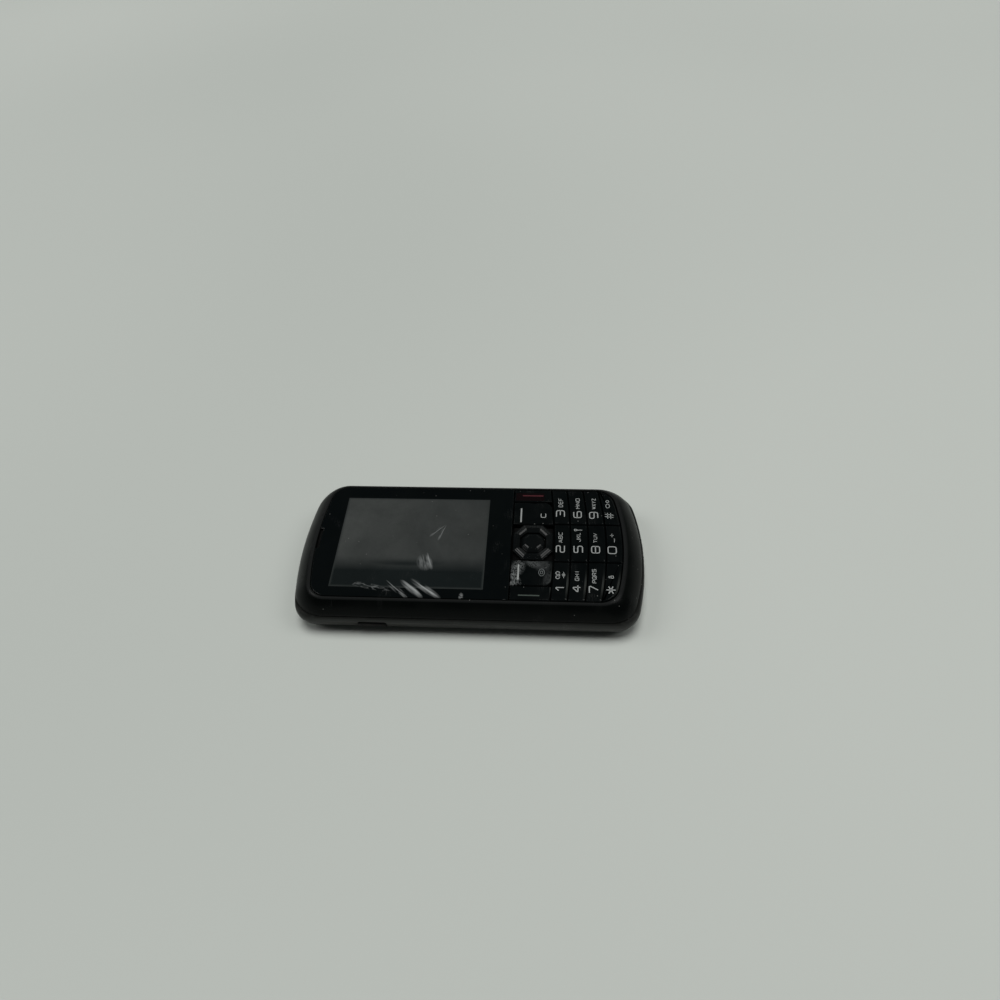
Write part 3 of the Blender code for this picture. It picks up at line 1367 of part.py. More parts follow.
def make_port_cover(look):
    """A flap curved as the shell's skin, with a plug behind it for the receptacle's mouth."""
    flap = port_cover_space(0)
    keep_common(flap, section_loft(SHELL_LEVELS, -PORT_COVER_PROUD, 0, SHELL_TOP))
    plug_length = RECEPTACLE_WIDTH / 2 - RECEPTACLE_TONGUE
    plug_height = RECEPTACLE_HEIGHT / 2 - RECEPTACLE_WALL
    root = -SIDE + PORT_COVER_THICKNESS - PORT_COVER_PROUD
    join(flap, port_block(root, receptacle_face() - GAP, plug_length, plug_height))
    hinge_y = PORT_Y + PORT_COVER_WIDTH / 2 - PORT_HINGE_INSET
    piece("port_cover", flap, look, origin=(-SIDE + PORT_HINGE_DEPTH, hinge_y, PORT_HEIGHT))


# Screws


def make_screws(look):
    for number, (x, y) in enumerate(SCREW_PLACES, start=1):
        head_top = SCREW_SEAT - FINE_GAP
        screw = disc(x, y, SCREW_HEAD_RADIUS, head_top - SCREW_HEAD_HEIGHT, head_top)
        join(screw, disc(x, y, SCREW_SHAFT_RADIUS, head_top - FINE_GAP, SCREW_TIP, STEM_SIDES))
        socket_top = head_top - SCREW_HEAD_HEIGHT + SCREW_SOCKET_DEPTH
        cut(screw, disc(x, y, SCREW_SOCKET_RADIUS, 0, socket_top, SOCKET_SIDES))
        piece(f"screw_{number}", screw, look)


def clear_scene():
    for old in list(bpy.data.objects):
        bpy.data.objects.remove(old, do_unlink=True)


def main():
    clear_scene()
    black_cover = material("black_cover", (0.018, 0.019, 0.019), 0.38)
    window_glass = material("window_glass", (0.012, 0.016, 0.016), 0.08)
    key_black = material("key_black", (0.02, 0.024, 0.024), 0.3)
    key_dark = material("key_dark", (0.03, 0.034, 0.034), 0.34)
    ok_black = material("ok_black", (0.012, 0.013, 0.013), 0.3)
    shell_grey = material("shell_grey", (0.11, 0.11, 0.108), 0.42)
    back_grey = material("back_grey", (0.1, 0.1, 0.1), 0.5)
    rubber = material("rubber", (0.012, 0.012, 0.012), 0.75)
    silicone = material("silicone", (0.3, 0.32, 0.32), 0.7)
    polyester = material("polyester", (0.75, 0.76, 0.7), 0.4)
    panel_grey = material("panel_grey", (0.22, 0.23, 0.22), 0.2)
    white_frame = material("white_frame", (0.8, 0.8, 0.78), 0.5)
    amber_flex = material("amber_flex", (0.5, 0.24, 0.05), 0.4)
    green_board = material("green_board", (0.02, 0.12, 0.06), 0.5)
    steel = material("steel", (0.6, 0.6, 0.6), 0.3, 1.0)
    dark_steel = material("dark_steel", (0.2, 0.2, 0.2), 0.35, 1.0)
    tungsten = material("tungsten", (0.35, 0.35, 0.37), 0.4, 1.0)
    black_plastic = material("black_plastic", (0.03, 0.03, 0.03), 0.5)
    battery_wrap = material("battery_wrap", (0.16, 0.17, 0.18), 0.45)
    camera_glass = material("camera_glass", (0.02, 0.02, 0.03), 0.05)
    mesh_black = material("mesh_black", (0.01, 0.01, 0.01), 0.8)

    make_front_cover(black_cover)
    make_display_window(window_glass)
    make_display(panel_grey, white_frame, amber_flex)
    make_number_keys(key_black)
    make_upper_keys(key_dark)
    make_nav_cluster(key_dark, black_plastic, ok_black)
    make_web(silicone)
    make_dome_sheet(polyester)
    make_main_board(green_board)
    make_shield_cans(steel)
    make_sim_holder(steel)
    make_battery_connector(black_plastic)
    make_battery(battery_wrap)
    make_battery_cover(back_grey)
    make_rear_housing(shell_grey)
    make_loudspeaker(black_plastic)
    make_camera(black_plastic, camera_glass)
    make_vibration_motor(steel, tungsten)
    make_earpiece(steel, mesh_black)
    make_microphone(steel)
    make_antenna(black_plastic)
    make_charging_port(steel, green_board)
    make_port_cover(rubber)
    make_screws(dark_steel)


main()
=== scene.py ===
# A bar phone on a pale table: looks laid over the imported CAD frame.
import math

import bmesh
import bpy
import numpy as np
from mathutils import Matrix


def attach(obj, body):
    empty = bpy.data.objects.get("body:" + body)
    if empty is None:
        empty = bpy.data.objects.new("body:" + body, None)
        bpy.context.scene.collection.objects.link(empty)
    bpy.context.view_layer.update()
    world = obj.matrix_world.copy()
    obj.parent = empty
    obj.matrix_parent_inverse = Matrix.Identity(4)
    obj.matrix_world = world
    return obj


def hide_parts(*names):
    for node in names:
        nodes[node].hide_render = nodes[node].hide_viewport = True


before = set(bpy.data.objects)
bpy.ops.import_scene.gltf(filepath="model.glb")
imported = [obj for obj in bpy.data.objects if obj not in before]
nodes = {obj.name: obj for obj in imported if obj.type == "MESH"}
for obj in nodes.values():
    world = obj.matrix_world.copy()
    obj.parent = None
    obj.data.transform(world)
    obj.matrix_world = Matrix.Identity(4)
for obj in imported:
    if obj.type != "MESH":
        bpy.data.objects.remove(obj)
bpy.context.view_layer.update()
mm = 0.001
face = 13.5      # height of the window and of the flat key tops, in mm
print("frame loaded:", len(nodes), "nodes")

# camera, as the photographer stood: its right, up and back directions

cameraSizes = {
    "place": (-135.902, -23.081, 186.270),
    "right": (0.05581085, -0.99763269, -0.04017657),
    "up": (0.75146824, 0.01547674, 0.65958771),
    "back": (-0.65740446, -0.06700357, 0.75055306),
    "focalShare": 0.78162,
    "sensor": 36.0,
    "clip": (0.01, 100),
}


def addCamera(c):
    # The lens is a share of the sensor's width; the turn has the three directions as its columns.
    data = bpy.data.cameras.new("camera")
    data.sensor_width = c["sensor"]
    data.lens = c["focalShare"] * c["sensor"]
    data.clip_start, data.clip_end = c["clip"]
    camera = bpy.data.objects.new("camera", data)
    turn = Matrix((c["right"], c["up"], c["back"])).transposed().to_4x4()
    camera.matrix_world = Matrix.Translation([v * mm for v in c["place"]]) @ turn
    bpy.context.scene.collection.objects.link(camera)
    bpy.context.scene.camera = camera


addCamera(cameraSizes)

# small node helpers, shared by every material


def feed(tree, socket, value):
    # A number, vector or colour is set on the socket; another node's output is linked to it.
    if isinstance(value, bpy.types.NodeSocket):
        tree.links.new(value, socket)
    else:
        socket.default_value = (*value, 1) if socket.type == "RGBA" else value


def node(tree, kind, **values):
    # A shader node; keys that name a socket feed it, and the rest set a property.
    made = tree.nodes.new("ShaderNode" + kind)
    for key, value in values.items():
        if key in made.inputs:
            feed(tree, made.inputs[key], value)
        else:
            setattr(made, key, value)
    return made


def maths(tree, operation, first, second=None, clamp=False):
    made = node(tree, "Math", operation=operation, use_clamp=clamp)
    feed(tree, made.inputs[0], first)
    if second is not None:
        feed(tree, made.inputs[1], second)
    return made.outputs[0]


def times(tree, first, second, clamp=False):
    return maths(tree, "MULTIPLY", first, second, clamp)


def plus(tree, first, second):
    return maths(tree, "ADD", first, second)


def minus(tree, first, second, clamp=False):
    return maths(tree, "SUBTRACT", first, second, clamp)


def vectorMaths(tree, operation, first, second):
    made = node(tree, "VectorMath", operation=operation, Vector=first)
    feed(tree, made.inputs[1], second)
    return made.outputs[0]


def axes(tree, vector):
    # The three coordinates of a vector.
    return node(tree, "SeparateXYZ", Vector=vector).outputs


def objectPlace(tree):
    return node(tree, "TexCoord").outputs["Object"]


def noiseAt(tree, place, **values):
    return node(tree, "TexNoise", Vector=place, **values).outputs[0]


def mixColour(tree, share, first, second, blend="MIX"):
    made = node(tree, "Mix", data_type="RGBA", blend_type=blend)
    for i, value in ((0, share), (6, first), (7, second)):      # the node's own places for share and colours
        feed(tree, made.inputs[i], value)
    return made.outputs[2]


def ramp(tree, value, low, high, start=0.0, end=1.0):
    # A straight line from start to end as the value goes from low to high, and level outside them.
    sockets = {"Value": value, "From Min": low, "From Max": high, "To Min": start, "To Max": end}
    return node(tree, "MapRange", **sockets).outputs["Result"]


def newGroup(name, inputs, outputs):
    # A node group with named sockets: (name, kind, default) going in, (name, kind) coming out.
    tree = bpy.data.node_groups.new(name, "ShaderNodeTree")
    for label, kind, default in inputs:
        socket = tree.interface.new_socket(label, in_out="INPUT", socket_type="NodeSocket" + kind)
        socket.default_value = default
    for label, kind in outputs:
        tree.interface.new_socket(label, in_out="OUTPUT", socket_type="NodeSocket" + kind)
    return tree, tree.nodes.new("NodeGroupInput").outputs, tree.nodes.new("NodeGroupOutput").inputs


def useGroup(tree, group, **values):
    # The outputs of a placed group, its inputs fed by name.
    made = tree.nodes.new("ShaderNodeGroup")
    made.node_tree = group
    for key, value in values.items():
        feed(tree, made.inputs[key], value)
    return made.outputs


# room: three wide, far lamps, and a world that is pale near the horizon and dim above

roomSizes = {
    "lamps": [      # towards where, how wide in degrees, how strong square on, and whether gloss mirrors it
        {"name": "overhead", "towards": (0.03, 0.0, 1.0), "wide": 30, "power": 1.95, "mirrored": False},
        {"name": "headSide", "towards": (0.0, 0.69, 0.72), "wide": 30, "power": 0.62, "mirrored": True},
        {"name": "chinSide", "towards": (0.0, -0.61, 0.79), "wide": 30, "power": 0.55, "mirrored": True},
    ],
    "tint": (1.0, 1.0, 0.985),
    "sky": (0.036, 0.038, 0.038),
    "horizon": (0.45, 0.475, 0.455),
    "horizonRise": (0.02, 0.22),        # sine of the elevation where it starts and ends to dim
    "nearDim": (-0.4, 0.6, 0.3),        # from where to where along X the horizon brightens, and its least share
}


def addRoom(r):
    # Lamps that shine towards the origin; a sky that dims with the sine of the elevation and along X.
    for lamp in r["lamps"]:
        data = bpy.data.lights.new(lamp["name"], "SUN")
        data.angle = math.radians(lamp["wide"])
        data.energy, data.color = lamp["power"], r["tint"]
        light = bpy.data.objects.new(lamp["name"], data)
        light.location = lamp["towards"]
        light.rotation_mode = "QUATERNION"
        light.rotation_quaternion = (-light.location).to_track_quat("-Z", "Y")
        light.visible_glossy = lamp["mirrored"]
        bpy.context.scene.collection.objects.link(light)
    world = bpy.data.worlds.new("room")
    bpy.context.scene.world = world
    world.use_nodes = True
    tree = world.node_tree
    x, _, z = axes(tree, node(tree, "TexCoord").outputs["Generated"])
    low = ramp(tree, z, *r["horizonRise"], 1.0, 0.0)
    start, end, least = r["nearDim"]
    pale = times(tree, low, ramp(tree, x, start, end, least, 1.0))
    seen = maths(tree, "MAXIMUM", pale, node(tree, "LightPath").outputs["Is Camera Ray"])
    feed(tree, tree.nodes["Background"].inputs["Color"], mixColour(tree, seen, r["sky"], r["horizon"]))


addRoom(roomSizes)
bpy.context.scene.view_settings.view_transform = "Standard"
print("camera and room ready")

# shared effects; scales are per metre

noiseMiddle = 0.5       # noise lies about this value
speckEdge = (0.06, 0.14)        # where a speck starts and ends to fade, as shares of its cell
hazeEdge = (0.38, 0.68)         # the noise at which haze starts and is full
filmFade = 0.45                 # the share of a film's reach where it starts to fade
scratchSizes = {
    "directions": ((0.6, (90, 2600, 90)), (-0.35, (70, 2100, 70)), (1.35, (110, 3000, 110))),     # turn, stretch
    "width": 0.006, "patchScale": 160.0, "bare": 0.75, "densityShare": 0.4, "patchSlope": 8.0,
}


def awayFromMiddle(tree, noise):
    return maths(tree, "ABSOLUTE", minus(tree, noise, noiseMiddle))


def makeGrainGroup():
    # Moulded grain: fine noise plus a share of coarse noise, as a height about zero and as a shade about one.
    tree, source, result = newGroup(
        "mouldedGrain",
        [("Fine", "Float", 9000.0), ("Coarse", "Float", 700.0), ("Share", "Float", 0.3)],
        [("Height", "Float"), ("Shade", "Float")],
    )
    place = objectPlace(tree)
    fine = noiseAt(tree, place, Scale=source["Fine"], Detail=3.0, Roughness=0.6)
    coarse = noiseAt(tree, place, Scale=source["Coarse"], Detail=2.0, Roughness=0.5)
    low = times(tree, minus(tree, coarse, noiseMiddle), source["Share"])
    both = plus(tree, minus(tree, fine, noiseMiddle), low)
    feed(tree, result["Height"], both)
    feed(tree, result["Shade"], plus(tree, times(tree, both, 0.5), 1.0))
    return tree


def makeScratchGroup(s):
    # Hair scratches: thin bands round the middle of stretched noises, kept only inside soft patches.
    tree, source, result = newGroup("hairScratches", [("Density", "Float", 0.5)], [("Mask", "Float")])
    place = objectPlace(tree)
    total = None
    for turn, stretch in s["directions"]:
        mapped = node(tree, "Mapping", Vector=place, Rotation=(0.0, 0.0, turn), Scale=stretch).outputs[0]
        noise = noiseAt(tree, mapped, Scale=1.0, Detail=1.0)
        band = ramp(tree, awayFromMiddle(tree, noise), 0.0, s["width"], 1.0, 0.0)
        total = band if total is None else maths(tree, "MAXIMUM", total, band)
    patch = noiseAt(tree, place, Scale=s["patchScale"], Detail=1.0)
    threshold = minus(tree, s["bare"], times(tree, source["Density"], s["densityShare"]))
    inside = times(tree, minus(tree, patch, threshold), s["patchSlope"], clamp=True)
    feed(tree, result["Mask"], times(tree, total, inside, clamp=True))
    return tree


def makeDustGroup():
    # Dust: small round specks at the centres of random cells, only a share of the cells.
    tree, source, result = newGroup(
        "dustSpecks", [("Scale", "Float", 900.0), ("Amount", "Float", 0.15)], [("Mask", "Float")],
    )
    cells = node(tree, "TexVoronoi", Vector=objectPlace(tree), Scale=source["Scale"]).outputs
    speck = ramp(tree, cells["Distance"], *speckEdge, 1.0, 0.0)
    draw = node(tree, "SeparateColor", Color=cells["Color"]).outputs[0]
    chosen = maths(tree, "LESS_THAN", draw, source["Amount"])
    feed(tree, result["Mask"], times(tree, speck, chosen))
    return tree


def makeHazeGroup():
    # Finger haze: broad warped noise, from clean at zero to greasy at one.
    tree, source, result = newGroup("fingerHaze", [("Scale", "Float", 90.0)], [("Mask", "Float")])
    noise = noiseAt(tree, objectPlace(tree), Scale=source["Scale"], Detail=4.0, Roughness=0.55, Distortion=0.6)
    feed(tree, result["Mask"], ramp(tree, noise, *hazeEdge))
    return tree


def makeFilmGlintGroup():
    # Painted glints along creases in a thin film: lines where a stretched, turned noise crosses its middle, fading out
    # of an ellipse.
    tree, source, result = newGroup(
        "filmCreaseGlints",
        [("Centre", "Vector", (0, 0, 0)), ("Reach", "Vector", (1, 1, 1)), ("Turn", "Float", 0.0),
         ("Pitch", "Float", 400.0), ("Stretch", "Float", 0.12), ("Width", "Float", 0.02)],
        [("Mask", "Float")],
    )
    moved = vectorMaths(tree, "SUBTRACT", objectPlace(tree), source["Centre"])
    turned = node(tree, "VectorRotate", rotation_type="Z_AXIS", Vector=moved, Angle=source["Turn"]).outputs[0]
    scaled = vectorMaths(tree, "DIVIDE", turned, source["Reach"])
    distance = node(tree, "VectorMath", operation="LENGTH", Vector=scaled).outputs["Value"]
    patch = ramp(tree, distance, filmFade, 1.0, 1.0, 0.0)
    along, across, _ = axes(tree, turned)
    joined = node(tree, "CombineXYZ", X=times(tree, along, source["Stretch"]), Y=across).outputs[0]
    noise = noiseAt(tree, joined, Scale=source["Pitch"], Detail=2.5, Roughness=0.55, Distortion=0.25)
    away = maths(tree, "DIVIDE", awayFromMiddle(tree, noise), source["Width"])
    feed(tree, result["Mask"], times(tree, minus(tree, 1.0, away, clamp=True), patch))
    return tree


grain, scratches, dust = makeGrainGroup(), makeScratchGroup(scratchSizes), makeDustGroup()
haze, filmGlints = makeHazeGroup(), makeFilmGlintGroup()


def edgeMask(tree):
    # The worn edges, and on keys the painted glints, that a piece's own mesh marks, or none where it has no such
    # marks.
    return node(tree, "Attribute", attribute_name="wornAndGlinting").outputs["Fac"]


# finishes: one dictionary each, all made by the same recipe

finishBase = {
    "colour": (0.02, 0.02, 0.02),
    "pale": (0.05, 0.05, 0.05),     # what grain and haze lift it towards
    "paleShare": 0.2,
    "roughness": (0.35, 0.5),       # clean and greasy
    "metallic": 0.0,
    "specular": 0.5,
    "coat": 0.0,
    "coatRoughness": 0.1,
    "grain": (9000.0, 700.0, 0.3),
    "bump": 0.00001,                # metres
    "hazeScale": 90.0,
    "scratch": 0.0,
    "scratchColour": (0.2, 0.2, 0.2),
    "scratchShare": 0.6,            # how much of the colour a scratch, speck or painted crease glint takes over
    "scratchDepth": 0.8,
    "wearAndGlint": 0.0,
    "wearAndGlintColour": (0.15, 0.15, 0.15),
    "wearAndGlintSmooths": 0.1,             # how much wear and painted glints lower the roughness, and specks and film creases raise it
    "dust": 0.0,
    "dustColour": (0.35, 0.35, 0.33),
    "dustShare": 0.5,
    "dustRoughens": 0.3,
    "glintFilms": (),                    # creased film patches with painted glints: centre, reach, turn, pitch, stretch, width, share
    "glintColour": (0.45, 0.47, 0.47),
    "filmRoughens": 0.15,
}

finishes = {
    "coverBlack": {
        "colour": (0.0014, 0.0020, 0.0019), "pale": (0.005, 0.0055, 0.005), "paleShare": 0.25, "specular": 0.07,
        "roughness": (0.26, 0.38), "bump": 0.000004, "grain": (11000.0, 900.0, 0.2), "dust": 0.05,
        "scratch": 0.35, "scratchColour": (0.06, 0.06, 0.06), "wearAndGlint": 0.5, "wearAndGlintColour": (0.022, 0.023, 0.023),
    },
    # on the keys the wear marks are a painted glint along the chin-facing slants
    "keyBlack": {
        "colour": (0.0016, 0.0024, 0.0025), "pale": (0.005, 0.006, 0.006), "paleShare": 0.3, "specular": 0.22,
        "roughness": (0.14, 0.28), "bump": 0.000002, "scratch": 0.35, "scratchColour": (0.05, 0.05, 0.05),
        "dust": 0.10, "hazeScale": 170.0, "wearAndGlint": 0.5, "wearAndGlintColour": (0.065, 0.07, 0.065),
    },
    "ringBlack": {
        "colour": (0.0020, 0.0028, 0.0030), "pale": (0.007, 0.008, 0.008), "paleShare": 0.3, "specular": 0.32,
        "roughness": (0.16, 0.28), "bump": 0.000002, "scratch": 0.4, "scratchColour": (0.08, 0.08, 0.08), "dust": 0.06,
    },
    "shellGrey": {
        "colour": (0.0082, 0.0088, 0.0080), "pale": (0.018, 0.019, 0.0175), "paleShare": 0.4, "specular": 0.19,
        "roughness": (0.36, 0.5), "bump": 0.000006, "scratch": 0.4, "scratchColour": (0.12, 0.12, 0.115), "dust": 0.05,
    },
    "backGrey": {
        "colour": (0.013, 0.0137, 0.0127), "pale": (0.026, 0.027, 0.025), "paleShare": 0.4, "specular": 0.2,
        "roughness": (0.42, 0.55), "bump": 0.000009, "dust": 0.06,
        "scratch": 0.7, "scratchColour": (0.12, 0.12, 0.115),
    },
    "rubberBlack": {
        "colour": (0.0016, 0.0016, 0.0016), "pale": (0.005, 0.005, 0.005), "roughness": (0.6, 0.75), "specular": 0.1,
        "bump": 0.00001, "dust": 0.25, "dustColour": (0.06, 0.06, 0.055),
    },
    "webGrey": {
        "colour": (0.0022, 0.0026, 0.0026), "pale": (0.006, 0.006, 0.006), "specular": 0.06,
        "roughness": (0.55, 0.7),
    },
    "innerBlack": {"colour": (0.014, 0.014, 0.014), "pale": (0.03, 0.03, 0.03), "roughness": (0.4, 0.55)},
    "frameWhite": {"colour": (0.72, 0.72, 0.70), "pale": (0.85, 0.85, 0.83), "roughness": (0.4, 0.55)},
    "domeFilm": {"colour": (0.55, 0.56, 0.50), "pale": (0.7, 0.7, 0.66), "roughness": (0.25, 0.4), "coat": 0.4},
    "flexAmber": {"colour": (0.42, 0.17, 0.03), "pale": (0.6, 0.3, 0.08), "roughness": (0.25, 0.4), "coat": 0.3},
    "boardGreen": {
        "colour": (0.012, 0.085, 0.035), "pale": (0.02, 0.16, 0.07), "paleShare": 0.5, "roughness": (0.3, 0.45),
        "grain": (2600.0, 420.0, 1.2), "bump": 0.00002, "dust": 0.2, "dustColour": (0.75, 0.72, 0.6),
    },
    "steelBright": {
        "colour": (0.58, 0.58, 0.57), "pale": (0.68, 0.68, 0.67), "roughness": (0.22, 0.4), "metallic": 1.0,
        "bump": 0.000003, "scratch": 0.8, "scratchColour": (0.8, 0.8, 0.8),
    },
    "steelDark": {
        "colour": (0.16, 0.16, 0.165), "pale": (0.24, 0.24, 0.24), "roughness": (0.3, 0.45), "metallic": 1.0,
        "bump": 0.000004, "scratch": 0.6, "scratchColour": (0.45, 0.45, 0.45),
    },
    "tungstenGrey": {
        "colour": (0.32, 0.32, 0.34), "pale": (0.42, 0.42, 0.44), "roughness": (0.3, 0.42), "metallic": 1.0,
        "bump": 0.000008, "grain": (5000.0, 500.0, 0.4),
    },
    "batteryWrap": {
        "colour": (0.10, 0.105, 0.11), "pale": (0.14, 0.145, 0.15), "roughness": (0.32, 0.5), "bump": 0.000006,
        "scratch": 0.6, "scratchColour": (0.3, 0.3, 0.3), "grain": (4200.0, 260.0, 0.8),
    },
    "cameraGlass": {
        "colour": (0.006, 0.006, 0.009), "pale": (0.012, 0.012, 0.02), "roughness": (0.04, 0.12), "coat": 1.0,
        "coatRoughness": 0.03, "bump": 0.0, "dust": 0.05,
    },
    "meshBlack": {
        "colour": (0.003, 0.003, 0.003), "pale": (0.008, 0.008, 0.008), "roughness": (0.5, 0.7), "specular": 0.1,
    },
    "legendWhite": {
        "colour": (0.31, 0.325, 0.32), "pale": (0.22, 0.23, 0.225), "paleShare": 0.6, "roughness": (0.35, 0.5),
        "bump": 0.0,
    },
    "legendDim": {"colour": (0.13, 0.14, 0.14), "pale": (0.09, 0.10, 0.10), "roughness": (0.35, 0.5), "bump": 0.0},
    "barRed": {"colour": (0.085, 0.020, 0.025), "pale": (0.06, 0.015, 0.02), "roughness": (0.35, 0.5), "bump": 0.0},
    "patchRed": {
        "colour": (0.0042, 0.0018, 0.0022), "pale": (0.005, 0.003, 0.003), "roughness": (0.2, 0.32),
        "specular": 0.22, "bump": 0.0,
    },
    "barGreen": {"colour": (0.055, 0.068, 0.060), "pale": (0.035, 0.045, 0.04), "roughness": (0.35, 0.5), "bump": 0.0},
}


def startMaterial(name, f):
    # The Principled shader with the numbers that are the same all over the surface.
    made = bpy.data.materials.new(name)
    made.use_nodes = True
    tree = made.node_tree
    shader = tree.nodes["Principled BSDF"]
    shader.inputs["Metallic"].default_value = f["metallic"]
    shader.inputs["Specular IOR Level"].default_value = f["specular"]
    shader.inputs["Coat Weight"].default_value = f["coat"]
    shader.inputs["Coat Roughness"].default_value = f["coatRoughness"]
    return made, tree, shader


def finishNodes(tree, shader, f, colour=None):
    # Base colour with haze, grain, scratches, worn edges with painted glints on key slants, dust and painted glints
    # along film creases; roughness from haze; bump from grain.
    fine, coarse, share = f["grain"]
    texture = useGroup(tree, grain, Fine=fine, Coarse=coarse, Share=share)
    greasy = useGroup(tree, haze, Scale=f["hazeScale"])["Mask"]
    plain = f["colour"] if colour is None else colour
    lifted = mixColour(tree, times(tree, greasy, f["paleShare"]), plain, f["pale"])
    shaded = mixColour(tree, 1.0, lifted, texture["Shade"], "MULTIPLY")
    rough = ramp(tree, greasy, 0.0, 1.0, *f["roughness"])
    height = texture["Height"]
    if f["scratch"] > 0:
        marks = useGroup(tree, scratches, Density=f["scratch"])["Mask"]
        shaded = mixColour(tree, times(tree, marks, f["scratchShare"]), shaded, f["scratchColour"])
        height = minus(tree, height, times(tree, marks, f["scratchDepth"]))
    # wear on the cover, and on the keys a painted glint on the chin-facing slant
    if f["wearAndGlint"] > 0:
        rubbedAndGlinting = times(tree, edgeMask(tree), f["wearAndGlint"])
        shaded = mixColour(tree, rubbedAndGlinting, shaded, f["wearAndGlintColour"])
        rough = minus(tree, rough, times(tree, rubbedAndGlinting, f["wearAndGlintSmooths"]))
    if f["dust"] > 0:
        specks = useGroup(tree, dust, Amount=f["dust"])["Mask"]
        shaded = mixColour(tree, times(tree, specks, f["dustShare"]), shaded, f["dustColour"])
        rough = plus(tree, rough, times(tree, specks, f["dustRoughens"]))
    # creases of a film, their glints painted as pale lines
    for (x, y), (reachX, reachY), turn, pitch, stretch, width, share in f["glintFilms"]:
        patch = useGroup(
            tree, filmGlints, Centre=(x * mm, y * mm, face * mm), Reach=(reachX * mm, reachY * mm, 1.0),
            Turn=turn, Pitch=pitch, Stretch=stretch, Width=width,
        )["Mask"]
        creaseGlints = times(tree, patch, share)
        shaded = mixColour(tree, creaseGlints, shaded, f["glintColour"])
        rough = plus(tree, rough, times(tree, creaseGlints, f["filmRoughens"]))
    feed(tree, shader.inputs["Base Color"], shaded)
    feed(tree, shader.inputs["Roughness"], rough)
    if f["bump"] > 0:
        bump = node(tree, "Bump", Strength=1.0, Distance=f["bump"], Height=height)
        feed(tree, shader.inputs["Normal"], bump.outputs["Normal"])


def makeFinish(name, changes):
    # A material of the base finish with its own changes.
    f = {**finishBase, **changes}
    made, tree, shader = startMaterial(name, f)
    finishNodes(tree, shader, f)
    return made


looks = {name: makeFinish(name, changes) for name, changes in finishes.items()}
print("finishes ready:", len(looks))

# the window: black printed border, grey display behind it with painted shade and a painted shadow line round it, and
# creases of a film with painted glints along them

windowFinish = {
    **finishBase,
    "colour": (0.0012, 0.0021, 0.0023), "pale": (0.0035, 0.0045, 0.0045), "paleShare": 0.3,
    "roughness": (0.05, 0.12), "bump": 0.0, "hazeScale": 60.0, "specular": 0.35,
    "scratch": 0.4, "scratchColour": (0.05, 0.05, 0.05), "dust": 0.05, "dustColour": (0.2, 0.2, 0.19),
    # the rim colour is a painted shadow line between the border and the display
    "centre": (-0.6, 16.25), "half": (15.95, 21.05), "soft": 0.05, "shadowLineWidth": 0.35, "rim": (0.030, 0.034, 0.033),
    "display": (0.044, 0.048, 0.047), "displayPale": (0.053, 0.057, 0.055),
    "cloudScale": 38.0, "cloudEdge": (0.35, 0.65),
    # painted shade on the display: brighter along Y, shaded on its left side, and a shaded band
    "shadeSlope": (-6.0, 22.0, 0.72),      # along Y, from where to where the display brightens, and its least share
    "shade": (0.0058, 0.0085, 0.0088),
    "shadeEdge": (-11.0, -6.0), "shadeShare": 0.95,     # along X, from where to where the shade fades
    "shadeBandPlace": (-8.5, 17.0), "shadeBandReach": (1.5, 14.0), "shadeBandShare": 0.85,
    # creases of a film on the window, with painted glints along them
    "glintFilms": (
        ((-17.1, 18.5), (4.6, 0.9), -0.87, 620.0, 0.12, 0.09, 0.4),
        ((-16.9, 14.5), (4.6, 1.0), -0.87, 700.0, 0.12, 0.17, 0.42),
        ((-16.6, 14.3), (4.2, 0.5), -0.87, 380.0, 0.10, 0.12, 0.6),
        ((-16.7, 10.7), (5.6, 1.1), -0.96, 760.0, 0.12, 0.15, 0.38),
        ((-17.2, 10.1), (4.2, 0.5), -0.96, 400.0, 0.10, 0.10, 0.55),
        ((-16.3, 26.0), (7.0, 1.0), -1.38, 700.0, 0.4, 0.06, 0.22),
        ((-7.9, 12.0), (3.0, 2.3), -0.34, 900.0, 0.16, 0.13, 0.22),
        ((-7.4, 10.7), (3.2, 0.8), -0.34, 520.0, 0.16, 0.12, 0.42),
        ((3.4, 9.6), (3.2, 0.6), 0.74, 700.0, 0.12, 0.08, 0.28),
        ((2.7, 8.2), (3.2, 0.5), 0.3, 800.0, 0.12, 0.09, 0.3),
        ((-19.2, 0.9), (0.7, 1.6), 1.6, 900.0, 0.4, 0.12, 0.4),
    ),
}


def boxMask(tree, place, centre, half, soft):
    # One inside a rectangle in plan, falling to zero over a soft edge: the least of both sides' distances.
    depths = [
        minus(tree, reach * mm, maths(tree, "ABSOLUTE", minus(tree, axis, middle * mm)))
        for axis, middle, reach in zip(axes(tree, place), centre, half)
    ]
    return ramp(tree, maths(tree, "MINIMUM", *depths), -soft * mm, soft * mm)


